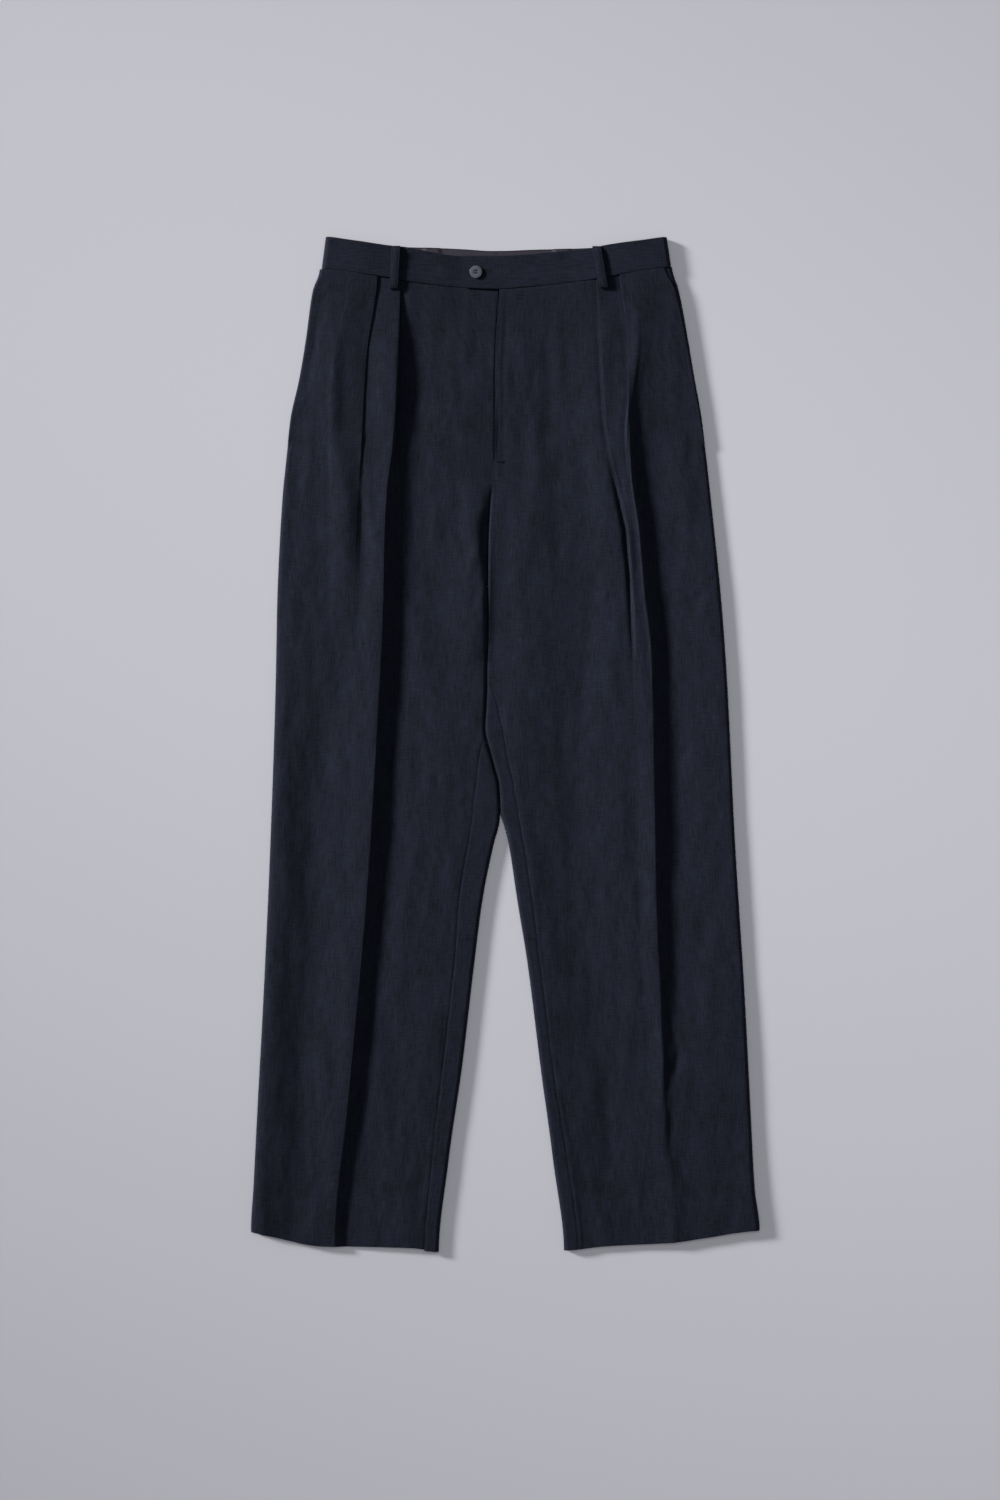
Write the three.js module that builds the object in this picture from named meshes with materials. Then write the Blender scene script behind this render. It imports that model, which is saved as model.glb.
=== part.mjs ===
import * as THREE from "three";

// Pleated trousers lying flat, front up, in millimetres.
// +X is to the right as they are looked at, +Y runs up to the waist and +Z up from the surface.
// Right and left are the wearer's, so the right leg lies on the -X side.

// Cloth
const WALL = 1.1;
const BAND_WALL = 1.8;
const LINING_WALL = 1.0;
const LOOP_WALL = 1.6;
const BACK_LOOP_WALL = 1.1;
const SEAM_GAP = 0.3;
const LAYER_STEP = WALL + SEAM_GAP;
const CURLED_SEAM_GAP = 0.5;
const WAIST_SEAM_GAP = 0.7;

// Lengths along the garment
const WAIST_SEAM_Y = 507;
const WAIST_BLEND_Y = 400;
const HEM_BLEND_Y = -400;
const HEM_Y = -545;
const PLEAT_ZONE_END_Y = 90;
const PLEAT_ROW_STEP = 27;
const PANEL_ROW_SPACING = 9;

// Waistband, fly and pockets
const TAB_END_X = -47.2;
const TAB_CORNER = 4;
const UNDERLAP_END_X = 6;
const BAND_SIDE_ROLL = 4.5;
const FLY_END_Y = 308;
const FLY_FACING_WIDTH = 36;
const FLY_SHIELD_REACH = 14;
const POCKET_END_Y = 330;
const POCKET_CLOSED_Y = 318;
const POCKET_FACING_REACH = 15;

// Belt loops
const LOOP_WIDTH = 9.6;
const LOOP_STAND = 2.6;
const BACK_LOOP_WIDTH = 10;
const BACK_LOOP_X = [-80, 62];
const BACK_LOOP_RAMP = 5;

// Button
const BUTTON_RADIUS = 7.3;
const BUTTON_THICKNESS = 2.6;
const BUTTON_BEVEL = 0.5;
const BUTTON_HOLE_RADIUS = 0.85;
const BUTTON_HOLE_PITCH = 1.9;
const BUTTON_X = -32.1;
const BUTTON_Y = 515;

// Inner edge of each leg: x of the front's and the back's edge, how far the edge curls down
// (1 is upright) and how far the inseam lies up and over the curl.
const INNER_COLUMNS = ["y", "front", "back", "curl", "wrap"];
const RIGHT_INNER = [
  [507, -2.1, -8.2, 0, 0],
  [484, -3.2, -8.2, 0, 0],
  [441, -5.7, -8.4, 0, 0],
  [397, -6.7, -8.8, 0, 0],
  [312, -6.7, -10.6, 0, 0],
  [304, -11.6, -11.2, 0, 0],
  [285, -14.0, -13.6, 0, 0],
  [262, -16.2, -15.8, 0.4, 0],
  [234, -17.8, -17.8, 1, 0],
  [201, -18.7, -18.7, 1, 0],
  [128, -19.6, -19.6, 1, 0],
  [43, -21.2, -21.2, 1, 0],
  [15, -22.8, -22.8, 1, 0],
  [9, -21.4, -21.4, 1, 3.4],
  [4, -19.9, -19.9, 1, 5.6],
  [-2, -18.2, -18.2, 1, 9.9],
  [-20, -13.4, -13.4, 1, 18.2],
  [-46, -7.0, -7.0, 1, 27.3],
  [-75, -5.5, -5.5, 1, 32.1],
  [-90, -7.3, -7.3, 1, 32.5],
  [-104, -11.5, -11.5, 1, 30.4],
  [-170, -24.9, -24.9, 1, 27.6],
  [-240, -34.0, -34.0, 1, 23.8],
  [-354, -47.5, -47.5, 1, 23.1],
  [-453, -62.1, -62.1, 1, 20.2],
  [-545, -72.5, -72.5, 1, 17.8],
];
const LEFT_INNER = [
  [507, -6.6, -8.2, 0, 0],
  [484, -8.2, -8.2, 0, 0],
  [441, -10.9, -8.4, 0, 0],
  [397, -11.6, -8.8, 0, 0],
  [312, -11.7, -10.6, 0, 0],
  [304, -11.2, -11.2, 0, 0],
  [285, -13.8, -13.6, 0, 0],
  [262, -16.0, -15.8, 0.4, 0],
  [234, -17.8, -17.8, 1, 0],
  [201, -18.7, -18.7, 1, 0],
  [128, -19.6, -19.6, 1, 0],
  [70, -20.6, -20.6, 1, 0],
  [65, -20.7, -20.7, 1, 3.4],
  [60, -20.8, -20.8, 1, 6.8],
  [55, -20.9, -20.9, 1, 10.2],
  [25, -21.9, -21.9, 1, 18.8],
  [15, -22.8, -22.8, 1, 21.7],
  [-2, -18.2, -18.2, 1, 20.4],
  [-20, -13.4, -13.4, 1, 19.1],
  [-46, -7.0, -7.0, 1, 18.1],
  [-75, -5.5, -5.5, 1, 21.4],
  [-90, -0.6, -0.6, 1, 19.5],
  [-104, 2.9, 2.9, 1, 18.4],
  [-170, 13.1, 13.1, 1, 18.4],
  [-240, 24.4, 24.4, 1, 15.5],
  [-354, 38.7, 38.7, 1, 15.6],
  [-453, 52.3, 52.3, 1, 17.6],
  [-545, 63.9, 63.9, 1, 17.7],
];

// Outer edge: x of the side, and how far the pocket mouth lies in from it.
const OUTER_COLUMNS = ["y", "side", "pocket"];
const RIGHT_OUTER = [
  [507, -202.5, 3.2],
  [484, -210.3, 1.9],
  [441, -217.2, 1.7],
  [397, -225.2, 1.6],
  [354, -234.6, 1.5],
  [310, -239.0, 0],
  [267, -243.2, 0],
  [158, -248.7, 0],
  [70, -250.4, 0],
  [-104, -256.1, 0],
  [-278, -263.9, 0],
  [-410, -271.0, 0],
  [-497, -274.9, 0],
  [-545, -277.4, 0],
];
const LEFT_OUTER = [
  [507, 182.0, 8.4],
  [484, 189.1, 4.4],
  [441, 198.7, 2.4],
  [397, 206.9, 1.7],
  [354, 214.5, 1.5],
  [310, 219.6, 0],
  [267, 224.3, 0],
  [158, 235.5, 0],
  [70, 241.9, 0],
  [-104, 250.4, 0],
  [-278, 261.3, 0],
  [-410, 268.0, 0],
  [-497, 272.2, 0],
  [-545, 277.4, 0],
];

// One pleat: x of its folded edge, height of the cloth that runs under it, degrees that the
// cloth turns there (180 folds it flat, less lets it open into a crease), depth and fold radius.
const PLEAT_COLUMNS = ["y", "edge", "foot", "turn", "run", "radius"];
const RIGHT_FIRST_PLEAT = [
  [507, -114.8, 4.0, 178, 20, 0.75],
  [470, -115.6, 4.2, 174, 16, 0.9],
  [430, -117.3, 4.6, 160, 9, 1.3],
  [385, -119.5, 5.2, 120, 4.5, 1.9],
  [325, -123.4, 6.0, 80, 4.5, 2.5],
  [275, -129.5, 6.4, 60, 7, 3],
  [223, -132.0, 6.6, 50, 9.5, 3.5],
  [150, -133.5, 6.6, 43, 11.5, 4],
  [48, -138.3, 6.4, 39, 12, 4],
  [-170, -151.9, 6.0, 35, 13, 4],
  [-387, -171.5, 5.6, 31, 12.5, 4],
  [-545, -186.5, 5.0, 25, 12, 4],
];
const RIGHT_SECOND_PLEAT = [
  [507, -139.6, 7.2, 178, 13, 0.75],
  [470, -144.0, 8.0, 175, 10, 0.75],
  [430, -150.6, 9.0, 170, 7, 0.75],
  [385, -154.0, 10.0, 120, 2.5, 0.9],
  [335, -156.6, 11.2, 60, 2, 1.2],
  [280, -160.0, 12.4, 15, 3, 3],
  [150, -166.0, 12.6, 8, 5, 5],
  [-545, -215.0, 9.6, 7, 5, 5],
];
const LEFT_FIRST_PLEAT = [
  [507, 100.0, 5.4, 178, 20, 0.75],
  [441, 104.0, 5.8, 177, 17, 0.75],
  [354, 109.4, 6.6, 174, 12, 0.8],
  [315, 115.4, 7.2, 166, 9, 0.9],
  [273, 126.2, 7.8, 150, 6, 1.0],
  [235, 134.0, 8.6, 130, 4, 1.0],
  [190, 137.2, 10.0, 90, 2.5, 1.2],
  [140, 139.5, 11.8, 45, 2.5, 1.5],
  [95, 142.0, 13.0, 15, 3, 3],
  [-170, 149.0, 11.0, 8, 4, 5],
  [-545, 167.0, 9.0, 8, 4, 5],
];
const LEFT_SECOND_PLEAT = [
  [507, 125.0, 8.4, 178, 12, 0.75],
  [484, 128.0, 8.8, 176, 11, 0.75],
  [430, 136.0, 9.4, 172, 7, 0.75],
  [380, 138.6, 10.4, 120, 2.5, 0.9],
  [340, 139.6, 12.6, 40, 2, 2],
  [280, 141.0, 14.0, 10, 2, 3],
  [235, 143.6, 14.2, 8, 1.5, 3],
  [140, 150.6, 14.4, 8, 1.5, 3],
  [95, 155.4, 14.4, 8, 1.5, 3],
  [-170, 159.5, 13.4, 8, 1.5, 3],
  [-285, 164.0, 12.2, 8, 1.5, 3],
  [-400, 168.0, 11.2, 8, 1.5, 3],
  [-545, 180.0, 10.4, 8, 1.5, 3],
];

// Heights of the front beside the pleats: at the inner edge, along a ridge, along a valley
// and at the side, with x of the ridge and the valley.
const HEIGHT_COLUMNS = ["y", "inner", "ridgeX", "ridge", "valleyX", "valley", "side"];
const RIGHT_HEIGHTS = [
  [507, 3.6, -164, 11.0, -182, 10.8, 10.8],
  [441, 3.6, -172, 12.4, -196, 10.2, 9.4],
  [312, 3.6, -178, 12.6, -206, 9.4, 8.6],
  [304, 3.6, -178, 12.6, -206, 9.4, 8.6],
  [285, 4.3, -180, 12.6, -208, 9.4, 8.6],
  [234, 4.8, -182, 12.4, -212, 9.6, 8.8],
  [201, 5.4, -183, 12.4, -214, 9.6, 8.8],
  [128, 7.2, -185, 12.4, -216, 9.8, 9.0],
  [15, 8.4, -190, 12.2, -220, 9.8, 9.2],
  [-170, 8.6, -202, 11.6, -230, 9.8, 9.6],
  [-387, 8.6, -222, 11.0, -246, 10.0, 10.2],
  [-545, 8.8, -235, 10.6, -256, 10.4, 11.0],
];
const LEFT_HEIGHTS = [
  [507, 5.0, 142, 11.4, 160, 11.2, 11.0],
  [441, 5.0, 149, 12.8, 172, 10.8, 9.4],
  [375, 5.0, 145, 14.0, 161, 9.8, 8.6],
  [330, 5.0, 144, 15.0, 160, 8.2, 8.2],
  [312, 5.0, 144, 15.2, 160, 7.8, 8.2],
  [304, 5.0, 144, 15.3, 160, 7.6, 8.2],
  [285, 4.4, 145, 15.6, 161, 7.2, 8.2],
  [234, 7.0, 148, 15.8, 164, 6.8, 8.4],
  [170, 8.2, 152, 15.8, 168, 6.6, 8.6],
  [95, 8.6, 159, 15.6, 175, 6.6, 8.8],
  [-60, 8.6, 162, 15.4, 178, 6.6, 9.0],
  [-170, 8.6, 164, 15.0, 181, 6.8, 9.2],
  [-285, 8.6, 169, 13.4, 187, 7.6, 9.4],
  [-400, 8.6, 173, 12.0, 191, 8.0, 9.8],
  [-545, 8.8, 185, 11.4, 204, 8.4, 10.6],
];

// Edges that run across the garment: y at each x.
const EDGE_COLUMNS = ["x", "y"];
const WAIST_SEAM = [
  [-200, 518],
  [-140, 511],
  [-99, 504],
  [-50, 498.7],
  [-7, 497],
  [26, 499.4],
  [60, 502.5],
  [97, 507.4],
  [146, 516.1],
  [182, 520.2],
];
const BACK_SEAM = [
  [-200, 518],
  [-120, 508.5],
  [-60, 504.4],
  [-8, 503],
  [50, 504.6],
  [110, 509.5],
  [182, 520.2],
];
const FRONT_BAND_TOP = [
  [-198, 553.2],
  [-167, 549.5],
  [-124, 543.5],
  [-109, 542.2],
  [-93, 539.1],
  [-48, 532.9],
  [-7, 532.8],
  [61, 537.4],
  [93, 540.2],
  [105, 543.2],
  [149, 549.5],
  [178, 552.8],
];
const BACK_BAND_TOP = [
  [-198, 553.2],
  [-167, 549.5],
  [-124, 543.5],
  [-80, 542],
  [-47, 540.1],
  [-15, 538],
  [-4, 538],
  [29, 539.2],
  [62, 540.3],
  [94, 541.9],
  [105, 543.3],
  [149, 549.5],
  [178, 552.8],
];
const RIGHT_HEM = [
  [-278, -531.5],
  [-262, -534.7],
  [-199, -547],
  [-117, -548.5],
  [-72, -553.1],
];
const LEFT_HEM = [
  [63, -551.5],
  [110, -547],
  [183, -542.8],
  [220, -537.4],
  [278, -529.8],
];

// Height of the front band from its side (0) to its end at the centre (1).
const BAND_HEIGHT_COLUMNS = ["part", "height"];
const RIGHT_BAND_HEIGHTS = [
  [0, 10.6],
  [0.15, 10.8],
  [0.4, 8.4],
  [0.62, 6.4],
  [0.74, 4.6],
  [1, 4.5],
];
const LEFT_BAND_HEIGHTS = [
  [0, 10.8],
  [0.15, 11.2],
  [0.26, 10.4],
  [0.38, 8.6],
  [0.6, 6.9],
  [1, 6.7],
];
const RIGHT_BAND_SIDE = { atSeam: -200.4, atTop: -195.8 };
const LEFT_BAND_SIDE = { atSeam: 180.9, atTop: 176.2 };

const RIGHT_LEG = {
  outward: -1,
  inner: { columns: INNER_COLUMNS, rows: RIGHT_INNER },
  outer: { columns: OUTER_COLUMNS, rows: RIGHT_OUTER },
  pleats: [
    { columns: PLEAT_COLUMNS, rows: RIGHT_FIRST_PLEAT },
    { columns: PLEAT_COLUMNS, rows: RIGHT_SECOND_PLEAT },
  ],
  heights: { columns: HEIGHT_COLUMNS, rows: RIGHT_HEIGHTS },
  hem: { columns: EDGE_COLUMNS, rows: RIGHT_HEM },
};
const LEFT_LEG = {
  outward: 1,
  inner: { columns: INNER_COLUMNS, rows: LEFT_INNER },
  outer: { columns: OUTER_COLUMNS, rows: LEFT_OUTER },
  pleats: [
    { columns: PLEAT_COLUMNS, rows: LEFT_FIRST_PLEAT },
    { columns: PLEAT_COLUMNS, rows: LEFT_SECOND_PLEAT },
  ],
  heights: { columns: HEIGHT_COLUMNS, rows: LEFT_HEIGHTS },
  hem: { columns: EDGE_COLUMNS, rows: LEFT_HEM },
};
const WAIST_SEAM_EDGE = { columns: EDGE_COLUMNS, rows: WAIST_SEAM };
const BACK_SEAM_EDGE = { columns: EDGE_COLUMNS, rows: BACK_SEAM };
const FRONT_TOP_EDGE = { columns: EDGE_COLUMNS, rows: FRONT_BAND_TOP };
const BACK_TOP_EDGE = { columns: EDGE_COLUMNS, rows: BACK_BAND_TOP };

const CLOTH = new THREE.MeshStandardMaterial({ color: 0x222530, roughness: 0.92, metalness: 0 });
const LINING = new THREE.MeshStandardMaterial({ color: 0x3a3438, roughness: 0.7, metalness: 0 });
const HORN = new THREE.MeshStandardMaterial({ color: 0x42454d, roughness: 0.35, metalness: 0 });

const lerp = THREE.MathUtils.lerp;
const smooth = (value) => THREE.MathUtils.smoothstep(value, 0, 1);

// Slope of a curve at knot i that never makes it swing past its knots.
function knotSlope(keys, values, i) {
  if (i === 0 || i === keys.length - 1) {
    return 0;
  }
  const before = (values[i] - values[i - 1]) / (keys[i] - keys[i - 1]);
  const after = (values[i + 1] - values[i]) / (keys[i + 1] - keys[i]);
  if (before * after <= 0) {
    return 0;
  }
  return (2 * before * after) / (before + after);
}

// Smooth value between knots whose keys run up.
function curveAt(keys, values, key) {
  const last = keys.length - 1;
  if (key <= keys[0]) {
    return values[0];
  }
  if (key >= keys[last]) {
    return values[last];
  }
  const i = keys.findIndex((k) => k > key) - 1;
  const width = keys[i + 1] - keys[i];
  const t = (key - keys[i]) / width;
  const start = knotSlope(keys, values, i) * width;
  const end = knotSlope(keys, values, i + 1) * width;
  const rise = values[i + 1] - values[i];
  const a = start + end - 2 * rise;
  const b = 3 * rise - 2 * start - end;
  return ((a * t + b) * t + start) * t + values[i];
}

// Row of a table at a key, as an object with the table's column names.
function readTable(table, key) {
  const rows = [...table.rows].sort((p, q) => p[0] - q[0]);
  const keys = rows.map((row) => row[0]);
  const result = {};
  table.columns.forEach((name, column) => {
    result[name] = column === 0 ? key : curveAt(keys, rows.map((row) => row[column]), key);
  });
  return result;
}

function edgeY(edge, x) {
  return readTable(edge, x).y;
}

function waistSeamY(x) {
  return edgeY(WAIST_SEAM_EDGE, x);
}

function backSeamY(x) {
  return edgeY(BACK_SEAM_EDGE, x);
}

// Closed wall of even thickness round a sheet given as rows of points.
// across is the direction in which the rows follow each other.
function wallMesh(name, rows, thickness, across, material) {
  const rowCount = rows.length;
  const size = rows[0].length;
  const half = thickness / 2;
  const positions = [];
  const offsetRow = (row, distance) => {
    row.forEach((point, j) => {
      const before = row[Math.max(j - 1, 0)];
      const after = row[Math.min(j + 1, size - 1)];
      const first = new THREE.Vector3().subVectors(point, before);
      const second = new THREE.Vector3().subVectors(after, point);
      const normalOf = (step) => new THREE.Vector3().crossVectors(across, step).normalize();
      const normal = normalOf(first).add(normalOf(second)).normalize();
      const reach = j === 0 || j === size - 1 ? 1 : Math.max(normal.dot(normalOf(second)), 0.75);
      const moved = point.clone().addScaledVector(normal, distance / reach);
      positions.push(moved.x, moved.y, moved.z);
    });
  };
  rows.forEach((row) => offsetRow(row, half));
  rows.forEach((row) => offsetRow(row, -half));
  const indices = [];
  const quad = (a, b, c, d) => indices.push(a, b, c, a, c, d);
  const front = (i, j) => i * size + j;
  const rear = (i, j) => (rowCount + i) * size + j;
  for (let i = 0; i < rowCount - 1; i += 1) {
    for (let j = 0; j < size - 1; j += 1) {
      quad(front(i, j), front(i, j + 1), front(i + 1, j + 1), front(i + 1, j));
      quad(rear(i, j), rear(i + 1, j), rear(i + 1, j + 1), rear(i, j + 1));
    }
    quad(front(i, 0), front(i + 1, 0), rear(i + 1, 0), rear(i, 0));
    quad(front(i, size - 1), rear(i, size - 1), rear(i + 1, size - 1), front(i + 1, size - 1));
  }
  for (let j = 0; j < size - 1; j += 1) {
    const end = rowCount - 1;
    quad(front(0, j), rear(0, j), rear(0, j + 1), front(0, j + 1));
    quad(front(end, j), front(end, j + 1), rear(end, j + 1), rear(end, j));
  }
  const geometry = new THREE.BufferGeometry();
  geometry.setAttribute("position", new THREE.Float32BufferAttribute(positions, 3));
  geometry.setIndex(indices);
  if (signedVolume(geometry) < 0) {
    geometry.setIndex([...indices].reverse());
  }
  geometry.computeVertexNormals();
  const mesh = new THREE.Mesh(geometry, material);
  mesh.name = name;
  return mesh;
}

function signedVolume(geometry) {
  const position = geometry.getAttribute("position");
  const index = geometry.getIndex();
  const corner = (k) => new THREE.Vector3().fromBufferAttribute(position, index.getX(k));
  let total = 0;
  for (let k = 0; k < index.count; k += 3) {
    total += corner(k).dot(corner(k + 1).cross(corner(k + 2))) / 6;
  }
  return total;
}

// Everything that one section across a leg needs. Distances u grow outward from the middle.
function legSection(leg, y) {
  const inner = readTable(leg.inner, y);
  const outer = readTable(leg.outer, y);
  const heights = readTable(leg.heights, y);
  const pleats = leg.pleats.map((table) => readTable(table, y));
  const open = THREE.MathUtils.smoothstep(y, POCKET_CLOSED_Y, POCKET_END_Y);
  return {
    y,
    leg,
    curl: inner.curl,
    wrap: inner.wrap,
    frontU: inner.front * leg.outward,
    backU: inner.back * leg.outward,
    sideU: outer.side * leg.outward,
    pocket: outer.pocket,
    open,
    inner: heights.inner,
    side: heights.side,
    ridgeU: heights.ridgeX * leg.outward,
    ridge: heights.ridge,
    valleyU: heights.valleyX * leg.outward,
    valley: heights.valley,
    pleats: pleats.map((pleat) => ({ ...pleat, edge: pleat.edge * leg.outward })),
  };
}

// Point on an edge that curls from flat towards upright, at a distance along it from where
// the curl begins.
function curlStep(radius, curl, distance) {
  if (curl < 0.01) {
    return { along: distance, drop: 0 };
  }
  const bend = radius / curl;
  const angle = distance / bend;
  return { along: bend * Math.sin(angle), drop: bend * (1 - Math.cos(angle)) };
}

// Inner edge of a leg's tube, measured along the cloth from where front and back could meet:
// positive over the top, negative under it.
function innerEdgePoint(section, edgeU, distance, flatHeight, rise) {
  const radius = (section.inner - WALL / 2) / 2;
  const quarter = (Math.PI / 2) * radius;
  const start = edgeU + SEAM_GAP / 2 + (section.curl * WALL) / 2;
  const full = curlStep(radius, section.curl, quarter).along;
  if (distance >= quarter) {
    return [start + full + distance - quarter, flatHeight];
  }
  const step = curlStep(radius, section.curl, quarter - distance);
  return [start + full - step.along, flatHeight + rise * step.drop];
}

// Points of the cloth at a pleat or crease: two arcs with a straight run between them.
function pleatPoints(pleat) {
  const turn = THREE.MathUtils.degToRad(pleat.turn);
  const { edge, foot, run, radius } = pleat;
  const top = foot + 2 * radius * (1 - Math.cos(turn)) + run * Math.sin(turn);
  const startU = edge - 2 * radius * Math.sin(turn) - run * Math.cos(turn);
  const angles = [0, turn / 2, turn];
  const lower = angles.map((a) => [
    startU + radius * Math.sin(a),
    foot + radius * (1 - Math.cos(a)),
  ]);
  const upper = angles.reverse().map((a) => [
    edge - radius * Math.sin(a),
    top - radius * (1 - Math.cos(a)),
  ]);
  return [...lower, ...upper];
}

// Height of the cloth from the last pleat over the ridge and the valley to the side.
function sideFieldHeight(section, u) {
  const last = pleatPoints(section.pleats[1]).at(-1);
  const keys = [last[0], section.ridgeU, section.valleyU, frontRollStart(section)];
  return curveAt(keys, [last[1], section.ridge, section.valley, section.side], u);
}

function sideRadius(section) {
  return (section.side - WALL / 2) / 2;
}

function frontRollStart(section) {
  const rolled = 1 - section.open;
  const edge = section.sideU - section.pocket - (rolled * WALL) / 2;
  return edge - curlStep(sideRadius(section), rolled, (Math.PI / 2) * sideRadius(section)).along;
}

function between(a, b, parts) {
  return parts.map((part) => lerp(a, b, part));
}

// Section of a front panel from its inner seam over both pleats to the side.
function frontSection(section) {
  const points = [];
  const seam = section.wrap + CURLED_SEAM_GAP / 2;
  const firstPleat = pleatPoints(section.pleats[0]);
  const secondPleat = pleatPoints(section.pleats[1]);
  const fieldEnd = firstPleat[0];
  for (const distance of [0, 1.2, 3, 5.6, 12]) {
    points.push(innerEdgePoint(section, section.frontU, seam + distance, section.inner, -1));
  }
  const fieldStart = points.at(-1);
  for (const u of between(fieldStart[0], fieldEnd[0], [0.3, 0.6, 0.85])) {
    const part = (u - fieldStart[0]) / (fieldEnd[0] - fieldStart[0]);
    points.push([u, lerp(fieldStart[1], fieldEnd[1], smooth(part))]);
  }
  points.push(...firstPleat);
  const gapStart = firstPleat.at(-1);
  const gapEnd = secondPleat[0];
  for (const u of between(gapStart[0], gapEnd[0], [0.4, 0.8])) {
    const part = (u - gapStart[0]) / (gapEnd[0] - gapStart[0]);
    points.push([u, lerp(gapStart[1], gapEnd[1], smooth(part))]);
  }
  points.push(...secondPleat);
  const rollStart = frontRollStart(section);
  const fieldUs = [
    ...between(secondPleat.at(-1)[0], section.ridgeU, [0.5, 1]),
    ...between(section.ridgeU, section.valleyU, [0.25, 0.5, 0.75, 1]),
    ...between(section.valleyU, rollStart, [0.4, 0.75, 1]),
  ];
  for (const u of fieldUs) {
    points.push([u, sideFieldHeight(section, u)]);
  }
  const radius = sideRadius(section);
  const quarter = (Math.PI / 2) * radius - CURLED_SEAM_GAP / 2;
  for (const part of [0.4, 0.75, 1]) {
    const step = curlStep(radius, 1 - section.open, part * quarter);
    points.push([rollStart + step.along, section.side - step.drop]);
  }
  return points;
}

// Section of a back panel from its inner seam, round under the leg, to the side seam.
function backSection(section) {
  const points = [];
  const floor = WALL / 2;
  const radius = (section.inner - floor) / 2;
  const seam = section.wrap - CURLED_SEAM_GAP / 2;
  const wrapEnd = -(Math.PI / 2) * radius - 4;
  for (const part of [0, 0.1, 0.25, 0.4, 0.55, 0.7, 0.85, 1]) {
    const distance = lerp(seam, wrapEnd, part);
    const over = distance >= 0;
    const edge = lerp(section.backU, section.frontU, section.curl);
    const height = over ? section.inner : floor;
    points.push(innerEdgePoint(section, edge, Math.abs(distance), height, over ? -1 : 1));
  }
  const sideTop = section.side - section.open * LAYER_STEP;
  const sideBend = (sideTop - floor) / 2;
  const rollStart = section.sideU - WALL / 2 - sideBend;
  for (const u of between(points.at(-1)[0], rollStart, [0.12, 0.28, 0.44, 0.6, 0.8, 1])) {
    points.push([u, floor]);
  }
  const quarter = (Math.PI / 2) * sideBend - CURLED_SEAM_GAP / 2;
  for (const part of [0.4, 0.75, 1]) {
    const step = curlStep(sideBend, 1, part * quarter);
    points.push([rollStart + step.along, floor + step.drop]);
  }
  return points;
}

// Places along a leg where a panel has a section: each row of its inner edge from the fly's
// end down, the pocket's end, and between them one every step in the pleats.
function sectionPlaces(leg, step) {
  const rows = leg.inner.rows.map((row) => row[0]);
  const needed = [WAIST_SEAM_Y, POCKET_END_Y, POCKET_CLOSED_Y, ...rows.filter((y) => y <= 312)];
  const places = [...needed];
  for (let y = WAIST_SEAM_Y - step; y > PLEAT_ZONE_END_Y; y -= step) {
    if (needed.every((place) => Math.abs(place - y) > PANEL_ROW_SPACING)) {
      places.push(y);
    }
  }
  return places.sort((a, b) => b - a);
}

// Point of a section in space, with the ends of the panel bent to the waist seam and the hem.
function placeOnLeg(leg, y, point, waistY) {
  const x = point[0] * leg.outward;
  const nearWaist = THREE.MathUtils.smoothstep(y, WAIST_BLEND_Y, WAIST_SEAM_Y);
  const nearHem = 1 - THREE.MathUtils.smoothstep(y, HEM_Y, HEM_BLEND_Y);
  const waistShift = nearWaist * (waistY(x) - WAIST_SEAM_GAP / 2 - WAIST_SEAM_Y);
  const hemShift = nearHem * (edgeY(leg.hem, x) - HEM_Y);
  return new THREE.Vector3(x, y + waistShift + hemShift, point[1]);
}

const ALONG = new THREE.Vector3(0, 1, 0);
const SIDEWAYS = new THREE.Vector3(1, 0, 0);

function frontPanel(name, leg) {
  const rows = sectionPlaces(leg, PLEAT_ROW_STEP).map((y) =>
    frontSection(legSection(leg, y)).map((point) => placeOnLeg(leg, y, point, waistSeamY)),
  );
  return wallMesh(name, rows, WALL, ALONG, CLOTH);
}

function backPanel(name, leg) {
  const rows = sectionPlaces(leg, 3 * PLEAT_ROW_STEP).map((y) =>
    backSection(legSection(leg, y)).map((point) => placeOnLeg(leg, y, point, backSeamY)),
  );
  return wallMesh(name, rows, WALL, ALONG, CLOTH);
}

// Facing behind a pocket mouth: under the front panel, then round the side to its seam.
function pocketFacing(name, leg) {
  const rows = [];
  for (let y = WAIST_SEAM_Y; y > POCKET_END_Y; y -= PLEAT_ROW_STEP) {
    const section = legSection(leg, y);
    const top = section.side - LAYER_STEP;
    const radius = (top - WALL / 2) / 2;
    const rollStart = section.sideU - WALL / 2 - radius;
    const hiddenStart = frontRollStart(section) - POCKET_FACING_REACH;
    const points = between(hiddenStart, rollStart, [0, 0.5, 1]).map((u) => [
      u,
      sideFieldHeight(section, u) - LAYER_STEP,
    ]);
    const quarter = (Math.PI / 2) * radius - CURLED_SEAM_GAP / 2;
    for (const part of [0.4, 0.75, 1]) {
      const step = curlStep(radius, 1, part * quarter);
      points.push([rollStart + step.along, points[2][1] - step.drop]);
    }
    rows.push(points.map((point) => placeOnLeg(leg, y, point, waistSeamY)));
  }
  return wallMesh(name, rows, WALL, ALONG, CLOTH);
}

// Plain strip under a front at the fly, a layer below it.
function flyStrip(name, leg, startU, endU) {
  const rows = [];
  const rowCount = 5;
  for (let i = 0; i < rowCount; i += 1) {
    const y = lerp(WAIST_SEAM_Y, FLY_END_Y + 4, i / (rowCount - 1));
    const section = legSection(leg, y);
    const height = section.inner - LAYER_STEP - 0.1;
    const points = between(startU(y), endU(y), [0, 0.5, 1]).map((u) => [u, height]);
    rows.push(points.map((point) => placeOnLeg(leg, y, point, waistSeamY)));
  }
  return wallMesh(name, rows, WALL, ALONG, CLOTH);
}

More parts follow.
